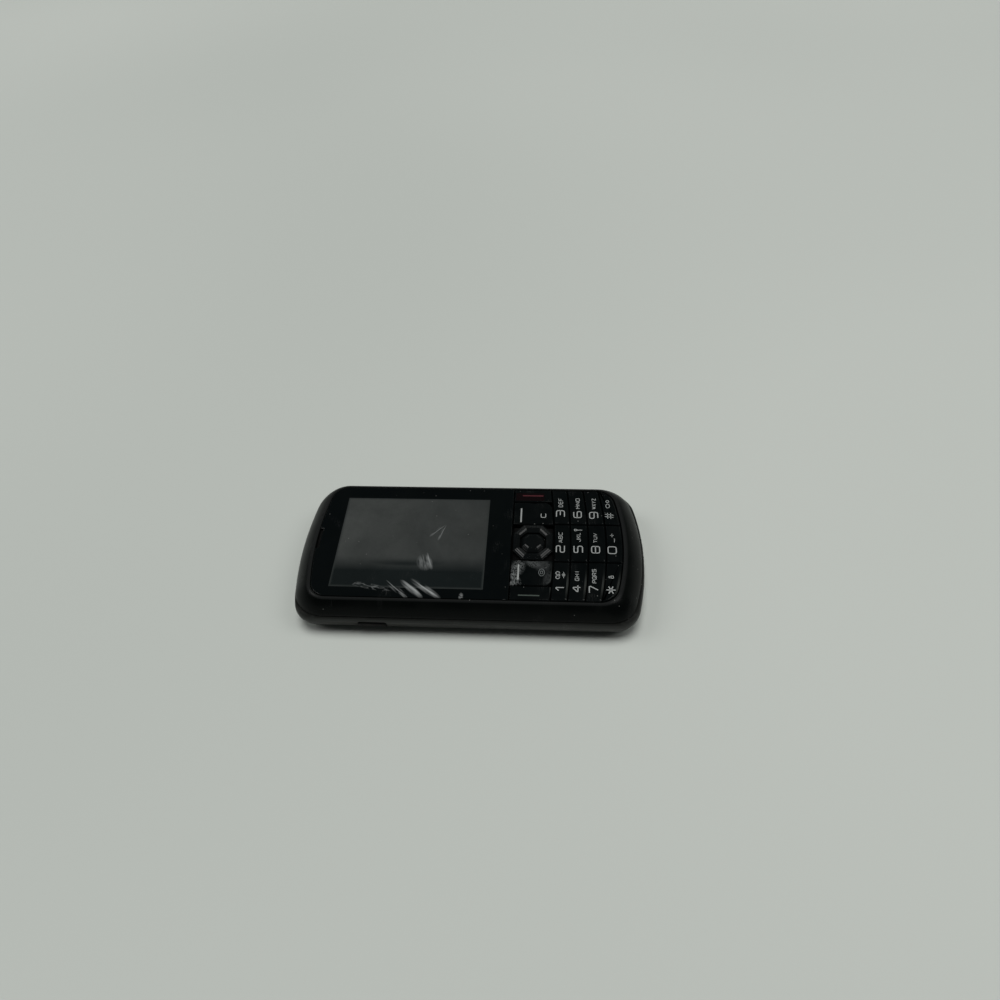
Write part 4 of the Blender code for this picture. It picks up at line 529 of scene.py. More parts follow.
def makeWindowLook(f):
    # The display is a cloudy grey with painted shade: it brightens along Y, less a painted shade on its left side and
    # less a painted shaded band that fades as a bell curve in X and Y; a painted shadow line at its rim and then the
    # border go round it.
    made, tree, shader = startMaterial("windowBlack", f)
    place = objectPlace(tree)
    shown = boxMask(tree, place, f["centre"], f["half"], f["soft"])
    inner = boxMask(tree, place, f["centre"], [h - f["shadowLineWidth"] for h in f["half"]], f["shadowLineWidth"])
    cloud = noiseAt(tree, place, Scale=f["cloudScale"], Detail=2.0, Distortion=0.4)
    panel = mixColour(tree, ramp(tree, cloud, *f["cloudEdge"]), f["display"], f["displayPale"])
    x, y, _ = axes(tree, place)
    # painted shade: the display darkens towards low Y
    start, end, least = f["shadeSlope"]
    panel = mixColour(tree, 1.0, panel, ramp(tree, y, start * mm, end * mm, least, 1.0), "MULTIPLY")
    # painted shade on the left side, and a painted shaded band fading as a bell curve
    low = ramp(tree, x, *[v * mm for v in f["shadeEdge"]], f["shadeShare"], 0.0)
    across = [
        maths(tree, "DIVIDE", minus(tree, axis, middle * mm), reach * mm)
        for axis, middle, reach in zip((x, y), f["shadeBandPlace"], f["shadeBandReach"])
    ]
    spread = plus(tree, *[times(tree, a, a) for a in across])
    band = times(tree, maths(tree, "EXPONENT", times(tree, spread, -1.0)), f["shadeBandShare"])
    panel = mixColour(tree, maths(tree, "MAXIMUM", low, band), panel, f["shade"])
    # a painted shadow line round the display's rim
    panel = mixColour(tree, inner, f["rim"], panel)
    finishNodes(tree, shader, f, mixColour(tree, shown, f["colour"], panel))
    return made


looks["windowBlack"] = makeWindowLook(windowFinish)

# shapes: an outline is half width, top, end, the bows of both ends, the corner radii of both ends

seam = np.array([22.9, 48.975, -48.525, 2.6, 4.2, 9.0, 7.4])
opening = np.array([19.8, 43.875, -43.025, 2.1, 2.9, 5.0, 5.6])
growth = np.array([1.0, 1.0, -1.0, 0.0, 0.0, 1.0, 1.0])
gap = 0.3
cutShare = 0.45     # the most that a rounded corner takes from the sides that meet there
tiny = 1e-9         # keeps a division by a length away from zero
parallel = 1e-3     # below this sine two sides count as one straight line
weld = 1e-6         # metres, below which two points are one


def endArc(halfWidth, bow, radius, corner, long):
    # A bowed end from right to left, its apex at zero: corner arc, long arc, corner arc, joined at tangents.
    bowRadius = (halfWidth ** 2 + bow ** 2) / (2 * bow)
    centreX = halfWidth - radius
    centreY = math.sqrt((bowRadius - radius) ** 2 - centreX ** 2) - bowRadius
    meet = math.atan2(centreY + bowRadius, centreX)
    right = np.linspace(0, meet, corner + 1)
    middle = np.linspace(meet, math.pi - meet, long + 1)[1:-1]
    left = math.pi - right[::-1]
    x = np.concatenate([
        centreX + radius * np.cos(right), bowRadius * np.cos(middle), radius * np.cos(left) - centreX,
    ])
    y = np.concatenate([
        centreY + radius * np.sin(right), bowRadius * (np.sin(middle) - 1), centreY + radius * np.sin(left),
    ])
    return np.column_stack([x, y])


def outlineRing(o, corner=14, long=26, side=10):
    # The whole outline, anticlockwise from the right end of its top, with points along its straight sides.
    top = endArc(o[0], o[3], o[5], corner, long) + (0, o[1])
    end = (endArc(o[0], o[4], o[6], corner, long) * (1, -1))[::-1] + (0, o[2])
    share = np.linspace(0, 1, side + 2)[1:-1, None]
    left = top[-1] + (end[0] - top[-1]) * share
    right = end[-1] + (top[0] - end[-1]) * share
    return np.vstack([top, left, end, right])


def atHeight(ring, z):
    # Points in plan, given one height.
    return np.column_stack([ring, np.full(len(ring), z)])


def insetRing(ring, widths):
    # Each side of a closed ring moves inwards by its width; a corner goes where its two moved sides cross.
    side = np.roll(ring, -1, axis=0) - ring
    normal = np.column_stack([side[:, 1], -side[:, 0]]) / np.linalg.norm(side, axis=1)[:, None]
    after = np.broadcast_to(widths(normal) if callable(widths) else widths, len(ring)).astype(float)
    first, before = np.roll(normal, 1, axis=0), np.roll(after, 1)
    cross = first[:, 0] * normal[:, 1] - first[:, 1] * normal[:, 0]
    straight = np.abs(cross) < parallel
    safe = np.where(straight, 1.0, cross)
    x = (before * normal[:, 1] - after * first[:, 1]) / safe
    y = (after * first[:, 0] - before * normal[:, 0]) / safe
    even = (first + normal) / np.linalg.norm(first + normal, axis=1)[:, None] * ((before + after) / 2)[:, None]
    return ring - np.where(straight[:, None], even, np.column_stack([x, y]))


def ringFaces(rows, count, closed=False):
    # Quads between each ring of points and the next; closed joins the last ring to the first.
    spans = rows if closed else rows - 1
    low = np.arange(spans)[:, None] * count
    high = (np.arange(spans)[:, None] + 1) % rows * count
    here = np.arange(count)[None, :]
    there = (here + 1) % count
    return np.stack([low + here, low + there, high + there, high + here], axis=-1).reshape(-1, 4).tolist()


def loftMesh(name, rings, closed=False):
    # A surface through rings of equally many points, with a flat cap at each end unless it closes on itself.
    rings = np.asarray(rings)
    rows, count = rings.shape[:2]
    faces = ringFaces(rows, count, closed)
    if not closed:
        faces += [list(range(count))[::-1], list(range((rows - 1) * count, rows * count))]
    mesh = bpy.data.meshes.new(name)
    mesh.from_pydata((rings.reshape(-1, 3) * mm).tolist(), [], faces)
    return turnOutwards(mesh)


def turnOutwards(mesh, merge=0.0):
    # Joins points nearer than merge, where it is given, and turns every face outwards.
    shape = bmesh.new()
    shape.from_mesh(mesh)
    if merge > 0:
        bmesh.ops.remove_doubles(shape, verts=shape.verts, dist=merge)
    bmesh.ops.recalc_face_normals(shape, faces=shape.faces)
    shape.to_mesh(mesh)
    shape.free()
    return mesh


def addPiece(name, mesh, look, body, stands=(), smooth=55.0, weighted=True):
    # Links a finished mesh as a piece: smooth up to an angle, flat faces kept flat, riding on its body.
    made = bpy.data.objects.new(name, mesh)
    bpy.context.scene.collection.objects.link(made)
    mesh.materials.clear()
    mesh.materials.append(looks[look])
    mesh.shade_smooth()
    mesh.set_sharp_from_angle(angle=math.radians(smooth))
    if weighted:
        made.modifiers.new("evenNormals", "WEIGHTED_NORMAL").keep_sharp = True
    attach(made, body)
    if stands:
        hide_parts(*stands)
    return made


def filleted(rings, radius, closed=False, steps=3):
    # Along each line of points, every inner ring becomes a short curve: a quadratic from a point before it
    # to a point after it.
    rings = np.asarray(rings, dtype=float)
    before = np.roll(rings, 1, axis=0) - rings
    after = np.roll(rings, -1, axis=0) - rings
    reach = [np.linalg.norm(v, axis=2, keepdims=True) for v in (before, after)]
    cut = np.minimum(radius, cutShare * np.minimum(*reach))
    start = rings + before * cut / np.maximum(reach[0], tiny)
    finish = rings + after * cut / np.maximum(reach[1], tiny)
    t = np.linspace(0, 1, steps + 1)[None, :, None, None]
    curve = start[:, None] * (1 - t) ** 2 + 2 * rings[:, None] * t * (1 - t) + finish[:, None] * t ** 2
    curve = curve.reshape(-1, *rings.shape[1:])
    if closed:
        return curve
    return np.concatenate([rings[:1], curve[steps + 1:-steps - 1], rings[-1:]])


def markEdges(mesh, values):
    # Writes how worn each point is, and on key slants how strong a painted glint is, for the finishes to read.
    mesh.attributes.new("wornAndGlinting", "FLOAT", "POINT").data.foreach_set("value", np.asarray(values, dtype=np.float32))


# front cover: a pillow from the window's lip down to the seam, and the shell behind it

coverSizes = {
    "foot": 8.45, "lip": 13.4, "lipWidth": 0.35, "power": 1.33, "wall": 1.4, "ledge": 11.2, "levels": 34,
    "edge": 0.12, "edgeTurn": ((0.13, 0.5), (0.5, 0.87)),       # a small radius, and the points of its arc
    "footTurn": 0.3,
    "lipWear": 0.35, "lipWearWidth": 0.8, "seamWear": 0.3, "seamWearWidth": 0.2, "seamWearShare": 0.5,
}


def coverLevels(c, steps):
    # Superellipse section: the outline spreads with sin and the height falls with cos, both to the same power.
    turn = np.linspace(0, math.pi / 2, steps)
    spread = np.sin(turn) ** (2 / c["power"])
    height = c["foot"] + (c["lip"] - c["foot"]) * np.cos(turn) ** (2 / c["power"])
    start = opening + growth * c["lipWidth"]
    return start + (seam - start) * spread[:, None], height


def makeFrontCover(c):
    # Outlines at heights, in turn: up from the ledge, round the lip, down the pillow, round the foot, and back
    # up one wall further in. Wear falls off from the lip and from the foot as a bell curve of the height.
    outlines, heights = coverLevels(c, c["levels"])
    edge, turn = c["edge"], c["footTurn"]
    rows = [(opening, c["ledge"]), (opening, c["lip"] - edge)]
    rows += [(opening + growth * edge * s, c["lip"] - edge * (1 - t)) for s, t in c["edgeTurn"]]
    rows += [(opening + growth * edge, c["lip"])]
    rows += list(zip(outlines[:-1], heights[:-1]))
    rows += [(seam, c["foot"] + edge), (seam - growth * edge * turn, c["foot"] + edge * turn)]
    rows += [(seam - growth * edge, c["foot"])]
    inside = heights < c["ledge"]
    rows += [(o - growth * c["wall"], h) for o, h in list(zip(outlines[inside], heights[inside]))[::-1]]
    rows += [(outlines[inside][0] - growth * c["wall"], c["ledge"])]
    rings = [atHeight(outlineRing(o), z) for o, z in rows]
    mesh = loftMesh("frontCover", rings, closed=True)
    level = np.array([z for _, z in rows])
    reach = np.array([o[0] for o, _ in rows])
    lipWear = np.exp(-((level - c["lip"]) / c["lipWear"]) ** 2) * (reach < opening[0] + c["lipWearWidth"])
    seamWear = np.exp(-((level - c["foot"]) / c["seamWear"]) ** 2) * (reach > seam[0] - c["seamWearWidth"])
    markEdges(mesh, np.repeat(lipWear + c["seamWearShare"] * seamWear, len(rings[0])))
    return addPiece("frontCover", mesh, "coverBlack", "phone_body", ["front_cover"], smooth=50)


makeFrontCover(coverSizes)

# display window: a plate with a straight lower edge and the earpiece notch

windowSizes = {
    "clearance": 0.2, "thickness": 1.1, "bevel": 0.12, "fillet": 0.05, "end": -11.675, "endClear": 0.5,
    "slotHalf": 3.5, "slotWidth": 0.9, "slotClear": 0.8, "flat": 0.4, "side": 10,
}


def makeWindow(w):
    # From the lower right corner up, round the head with the notch cut in, and down to the lower left corner;
    # then a plate of that outline, with a small slanted and rounded upper edge.
    side, slot, clear = opening[0] - w["clearance"], w["slotHalf"], w["slotClear"]
    ring = np.roll(outlineRing(opening - growth * w["clearance"], side=w["side"]), w["side"], axis=0)
    ring = ring[ring[:, 1] > w["end"] + w["endClear"]]
    head = ring[ring[:, 1] > ring[:, 1].max() - opening[3]]
    rim = np.interp(slot, head[::-1, 0], head[::-1, 1])
    floor = opening[1] - gap - w["slotWidth"]
    notch = np.array([(slot, rim), (slot, floor), (-slot, floor), (-slot, rim)])
    corners = np.array([(-side, w["end"]), (side, w["end"])])
    ring = np.vstack([ring[ring[:, 0] > slot + clear], notch, ring[ring[:, 0] < -slot - clear], corners])
    rings = filleted([
        atHeight(ring, face - w["thickness"]), atHeight(ring, face - w["bevel"]),
        atHeight(insetRing(ring, w["bevel"]), face), atHeight(insetRing(ring, w["flat"]), face),
    ], w["fillet"])
    mesh = loftMesh("displayWindow", rings)
    return addPiece("displayWindow", mesh, "windowBlack", "phone_body", ["display_window"])


makeWindow(windowSizes)
print("cover and window ready")

# number keys: curved rows, each later row bowing more, with a shallow chamfer towards the chin

padSizes = {
    "split": 6.63, "top": -23.725, "first": 4.62, "row": 4.95, "rows": 4,
    "rise": 0.95, "riseGain": 1.8, "risePower": 2.5, "skirt": 1.6, "shoulder": 0.3,
    "bevel": 0.25, "chamfer": 0.5, "chamferPower": 3, "fillet": 0.09, "flat": 0.3, "steps": 14,
    "chinSteps": {"corner": 24, "long": 30, "side": 0}, "nearest": 0.01,
    "callSplit": 14.85, "functionSplit": 6.4, "keyTop": -11.975, "functionCorner": 2.2, "cornerSteps": 9,
    "valleyHalf": 1.9, "valleyDepth": 0.22, "valleySteps": 13, "valleyFrom": 0.05,
    "cutReach": 1e-7,       # metres, how near to a cut a point counts as on it
    # the painted glint on chin-facing slants: where along X it is strongest, its reach, how sharply it faces the chin,
    # and how far above the shoulder and below the top it starts and ends
    "glintPlace": -14.2, "glintReach": 2.8, "glintPower": 4, "glintFrom": 0.01, "glintTo": 0.002,
}
keyNames = [
    ["key_1", "key_2", "key_3"],
    ["key_4", "key_5", "key_6"],
    ["key_7", "key_8", "key_9"],
    ["key_star", "key_0", "key_hash"],
]
navCentre = (padSizes["keyTop"] + gap / 2 + padSizes["top"]) / 2


def rowEdge(row, x, p=padSizes):
    # The upper edge of a row: its place, plus a rise that grows with the square of the distance from the middle.
    y = p["top"] - (p["first"] + p["row"] * (row - 1) if row else 0.0)
    rise = p["rise"] + p["riseGain"] * (row / p["rows"]) ** p["risePower"]
    return y + rise * (np.asarray(x) / opening[0]) ** 2


def rowSide(row, across, way):
    # Points along a row's upper edge, half a gap below it (way -1) or above it (way 1).
    return np.column_stack([across, rowEdge(row, across) + way * gap / 2])


def columnEdges(column, p=padSizes):
    # Left and right edge of a column: half a gap from each split, and a whole gap from the opening's side.
    side = opening[0] - gap
    edges = [-side, -p["split"] - gap / 2, -p["split"] + gap / 2, p["split"] - gap / 2, p["split"] + gap / 2, side]
    return edges[2 * column], edges[2 * column + 1]


def numberKeyRing(row, column, p=padSizes):
    # Between its own row's edge and the next one's; the last row ends at the opening's outline, a gap inside it.
    x0, x1 = columnEdges(column)
    if row < p["rows"] - 1:
        across = np.linspace(x0, x1, p["steps"])
        return np.vstack([rowSide(row, across, -1)[::-1], rowSide(row + 1, across, 1)])
    ring = outlineRing(opening - growth * gap, **p["chinSteps"])
    chin = ring[ring[:, 1] < rowEdge(row, ring[:, 0]) - gap / 2]    # from left to right, below the row's edge
    left, right = max(x0, chin[0, 0]), min(x1, chin[-1, 0])
    upper = rowSide(row, np.linspace(left, right, p["steps"]), -1)[::-1]
    parts = [upper, chin[(chin[:, 0] > left + p["nearest"]) & (chin[:, 0] < right - p["nearest"])]]
    if left == x0:
        parts.insert(1, [(x0, np.interp(x0, chin[:, 0], chin[:, 1]))])
    if right == x1:
        parts.append([(x1, np.interp(x1, chin[:, 0], chin[:, 1]))])
    return np.vstack(parts)


def chinChamfer(normal, p=padSizes):
    # The bevel, plus what the chamfer adds as a power of how far a side looks towards the chin.
    return p["bevel"] + (p["chamfer"] - p["bevel"]) * np.maximum(0, -normal[:, 1]) ** p["chamferPower"]


def evenBevel(normal, p=padSizes):
    # The same width on every side.
    return np.full(len(normal), p["bevel"])


def keyMesh(name, ring, widths, p=padSizes):
    # Straight skirt up to the shoulder, a slanted edge in to the cap's flat, both corners rounded; the slant towards
    # the chin gets a painted glint near one place across the pad, falling off as a bell curve.
    shoulder = face - p["shoulder"]
    rings = filleted([
        atHeight(ring, shoulder - p["skirt"]),
        atHeight(ring, shoulder),
        atHeight(insetRing(ring, widths), face),
        atHeight(insetRing(ring, lambda normal: widths(normal) + p["flat"]), face),
    ], p["fillet"])
    mesh = loftMesh(name, rings)
    side = np.roll(ring, -1, axis=0) - np.roll(ring, 1, axis=0)
    facing = np.clip(side[:, 0] / np.linalg.norm(side, axis=1), 0, 1) ** p["glintPower"]     # towards the chin
    near = np.exp(-((ring[:, 0] - p["glintPlace"]) / p["glintReach"]) ** 2)
    slanted = (rings[:, :, 2] > shoulder + p["glintFrom"]) & (rings[:, :, 2] < face - p["glintTo"])
    markEdges(mesh, (slanted * facing * near).ravel())
    return mesh


def addKey(name, ring, widths, look):
    # A cap that rides on the body of its own name.
    return addPiece(name + "_cap", keyMesh(name + "_cap", ring, widths), look, name + "_body", [name])


for row, names in enumerate(keyNames):
    for column, name in enumerate(names):
        addKey(name, numberKeyRing(row, column), chinChamfer, "keyBlack")


def outerKeyRing(side, p=padSizes):
    # Call key on the left, end key on the right: straight top, lower edge along the first row.
    x0, x1 = sorted((side * (p["callSplit"] + gap / 2), side * (opening[0] - gap)))
    lower = rowSide(0, np.linspace(x0, x1, p["steps"]), 1)
    return np.vstack([[(x1, p["keyTop"]), (x0, p["keyTop"])], lower])


def functionKeyRing(side, p=padSizes):
    # A tall cap beside the ring, its lower outer corner rounded off by an arc.
    inner, outer = side * p["functionSplit"], side * (p["callSplit"] - gap / 2)
    low = rowEdge(0, np.array([inner, outer])) + gap / 2
    turn = np.linspace(0, math.pi / 2, p["cornerSteps"])
    radius = p["functionCorner"]
    arc = np.column_stack([
        outer - side * radius * (1 - np.cos(turn)), low[1] + radius * (1 - np.sin(turn)),
    ])
    points = np.vstack([[(inner, p["keyTop"])], [(inner, low[0])], arc[::-1], [(outer, p["keyTop"])]])
    return points if side > 0 else points[::-1]


keyGlintFilm = {     # the left function key: painted reflections as mottled pale patches either side of the valley, laid as film crease glints
    "glintColour": (0.30, 0.32, 0.32),
    "glintFilms": (
        ((-9.0, -13.9), (3.4, 2.2), 0.3, 1500.0, 0.8, 0.10, 0.34),
        ((-12.4, -13.2), (3.0, 1.2), -0.6, 1300.0, 0.6, 0.10, 0.45),
        ((-8.2, -20.8), (2.6, 2.4), 0.9, 1100.0, 0.7, 0.25, 0.10),
        ((-12.4, -22.2), (3.2, 1.5), 0.1, 1300.0, 0.7, 0.20, 0.08),
        ((-7.4, -18.0), (1.6, 2.6), 0.4, 2100.0, 0.8, 0.12, 0.22),
        ((-14.3, -12.6), (1.0, 1.5), 0.2, 1900.0, 0.8, 0.12, 0.5),
    ),
}


def makeFunctionKey(side, name, look, p=padSizes):
    # Rows across the key's length; the height dips by a cosine valley over the rocking axis.
    mesh = keyMesh(name + "_cap", functionKeyRing(side), evenBevel)
    shape = bmesh.new()
    shape.from_mesh(mesh)
    for share in np.linspace(-1, 1, p["valleySteps"]):
        place = (0, (navCentre + share * p["valleyHalf"]) * mm, 0)
        whole = shape.verts[:] + shape.edges[:] + shape.faces[:]
        bmesh.ops.bisect_plane(shape, geom=whole, plane_co=place, plane_no=(0, 1, 0), dist=p["cutReach"])
    shape.to_mesh(mesh)
    shape.free()
    points = np.empty(len(mesh.vertices) * 3)
    mesh.vertices.foreach_get("co", points)
    points = points.reshape(-1, 3)
    along = np.clip(np.abs(points[:, 1] / mm - navCentre) / p["valleyHalf"], 0, 1)
    upper = points[:, 2] > (face - p["shoulder"] - p["valleyFrom"]) * mm
    points[:, 2] -= upper * p["valleyDepth"] * mm * (1 + np.cos(math.pi * along)) / 2
    mesh.vertices.foreach_set("co", points.ravel())
    return addPiece(name + "_cap", mesh, look, name + "_body", [name])


looks["keyGlintFilm"] = makeFinish("keyGlintFilm", {**finishes["keyBlack"], **keyGlintFilm})
for side, name in ((-1, "call_key"), (1, "end_key")):
    addKey(name, outerKeyRing(side), evenBevel, "keyBlack")
makeFunctionKey(-1, "left_function_key", "keyGlintFilm")
makeFunctionKey(1, "right_function_key", "keyBlack")
print("keys ready")

# navigation ring and centre key: eight-sided, corners rounded by an arc

navSizes = {
    "half": (6.1, 5.5), "cornerShare": 0.5, "radius": 0.45, "proud": 0.45, "under": 12.35,
    "fillet": 0.05, "filletSteps": 3, "holeRadiusShare": 0.6,
    "steps": (      # inset and drop below the crest, from the outside in
        (0.0, 0.56), (0.45, 0.42), (0.68, 0.28), (0.85, 0.24), (1.15, 0.06), (1.35, 0.0), (1.8, 0.27),
    ),
    "innerDrop": 0.75,
    "okHalf": 3.25, "okProud": 0.35, "okUnder": 12.5, "okSteps": ((0.0, 0.85), (0.6, 0.25), (0.85, 0.21)),
    "okRim": 1.2, "okDish": 0.07, "okRows": 8, "okReach": 0.97,      # the dish's last row, as a share of the way in
}


def octagonRing(halfX, halfY, share, radius, steps=4):
    # Eight corners in turn, each replaced by an arc tangent to its two sides.
    x, y = halfX * (1 - share), halfY * (1 - share)
    corner = np.array([
        (halfX, -y), (halfX, y), (x, halfY), (-x, halfY), (-halfX, y), (-halfX, -y), (-x, -halfY), (x, -halfY),
    ])
    back = np.roll(corner, 1, axis=0) - corner
    ahead = np.roll(corner, -1, axis=0) - corner
    back /= np.linalg.norm(back, axis=1)[:, None]
    ahead /= np.linalg.norm(ahead, axis=1)[:, None]
    half = np.arccos(np.clip((back * ahead).sum(1), -1, 1)) / 2
    middle = (back + ahead) / np.linalg.norm(back + ahead, axis=1)[:, None]
    centre = corner + middle * (radius / np.sin(half))[:, None]
    start = corner + back * (radius / np.tan(half))[:, None] - centre
    finish = corner + ahead * (radius / np.tan(half))[:, None] - centre
    turn = (math.pi - 2 * half)[:, None, None]
    share = np.linspace(0, 1, steps + 1)[None, :, None]
    arm = (start[:, None] * np.sin((1 - share) * turn) + finish[:, None] * np.sin(share * turn)) / np.sin(turn)
    return (centre[:, None] + arm).reshape(-1, 2) + (0, navCentre)


def makeNavRing(n):
    # Underside, side, two narrow slants with gentle slopes between, a land, and an inner slope in two angles.
    crest = face + n["proud"]

    def outer(inset, z):
        halfX, halfY = n["half"][0] - inset, n["half"][1] - inset
        return atHeight(octagonRing(halfX, halfY, n["cornerShare"], n["radius"]), z)

    def hole(z):
        half = n["okHalf"] + gap
        return atHeight(octagonRing(half, half, n["cornerShare"], n["radius"] * n["holeRadiusShare"]), z)

    rings = filleted([
        outer(0, n["under"]), *[outer(inset, crest - drop) for inset, drop in n["steps"]],
        hole(crest - n["innerDrop"]), hole(n["under"]),
    ], n["fillet"], closed=True, steps=n["filletSteps"])
    mesh = loftMesh("navRing", rings, closed=True)
    return addPiece("navRing", mesh, "ringBlack", "nav_ring_body", ["nav_ring"], smooth=24)


def makeCentreKey(n):
    # Straight side, a steep edge, a narrow slant, then a dish whose depth follows a parabola towards the middle.
    top = face + n["okProud"]

    def level(inset, z):
        half = n["okHalf"] - inset
        return atHeight(octagonRing(half, half, n["cornerShare"], n["radius"] * half / n["okHalf"]), z)

    reach = n["okHalf"] - n["okRim"]
    sides = [level(0, n["okUnder"])] + [level(inset, top - drop) for inset, drop in n["okSteps"]]
    dish = [
        level(n["okRim"] + reach * s, top - n["okDish"] * (1 - (1 - s) ** 2))
        for s in np.linspace(0, n["okReach"], n["okRows"])
    ]
    mesh = loftMesh("centreKey", filleted(sides + dish, n["fillet"], steps=n["filletSteps"]))
    return addPiece("centreKey", mesh, "ringBlack", "ok_key_body", ["ok_key"], smooth=24)


makeNavRing(navSizes)
makeCentreKey(navSizes)
print("navigation key ready")

# nodes whose CAD shape is right: a merged copy with smooth sides stands for them

copied = {
    "rear_housing": ("shellGrey", "phone_body", "shell_grey", 24),
    "battery_cover": ("backGrey", "battery_cover_body", "back_grey", 24),
    "port_cover": ("rubberBlack", "port_cover_body", "black_rubber", 30),
    "camera_window": ("cameraGlass", "phone_body", "camera_glass", 30),
    "keypad_web": ("webGrey", "phone_body", "silicone", 30),
    "loudspeaker": ("innerBlack", "phone_body", "inner_plastic", 30),
    "camera_module": ("innerBlack", "phone_body", "inner_plastic", 30),
    "vibration_motor": ("steelBright", "phone_body", "steel", 30),
    "vibration_weight": ("tungstenGrey", "vibration_weight_body", "tungsten", 30),
    "battery": ("batteryWrap", "phone_body", "battery_wrap", 30),
    "usb_receptacle": ("steelBright", "phone_body", "steel", 30),
}


def copyNode(name, look, body, smooth):
    # The node's own mesh with its points joined, so that its sides can be shaded smooth.
    mesh = nodes[name].data.copy()
    mesh.name = name + "_skin"
    turnOutwards(mesh, merge=weld)
    return addPiece(name + "_skin", mesh, look, body, [name], smooth=smooth, weighted=False)


for name, (look, body, slot, smooth) in copied.items():
    copyNode(name, look, body, smooth)

# finishes of the CAD nodes that stay

kept = {
    "lcd_panel": "innerBlack", "backlight_frame": "frameWhite", "display_flex": "flexAmber",
    "dome_sheet": "domeFilm", "main_board": "boardGreen", "shield_can": "steelBright",
    "shield_can_rf": "steelBright", "sim_holder": "steelBright", "battery_connector": "innerBlack",
    "earpiece": "steelBright", "earpiece_mesh": "meshBlack", "microphone": "steelBright",
    "antenna": "innerBlack", "io_board": "boardGreen", "nav_carrier": "meshBlack",
    "screw_1": "steelDark", "screw_2": "steelDark", "screw_3": "steelDark", "screw_4": "steelDark",
}
for name, look in kept.items():
    for slot in nodes[name].material_slots:
        slot.material = looks[look]
print("shell and inner parts ready")

# legends: strokes on a unit cell, widened to flat bars and laid on the caps

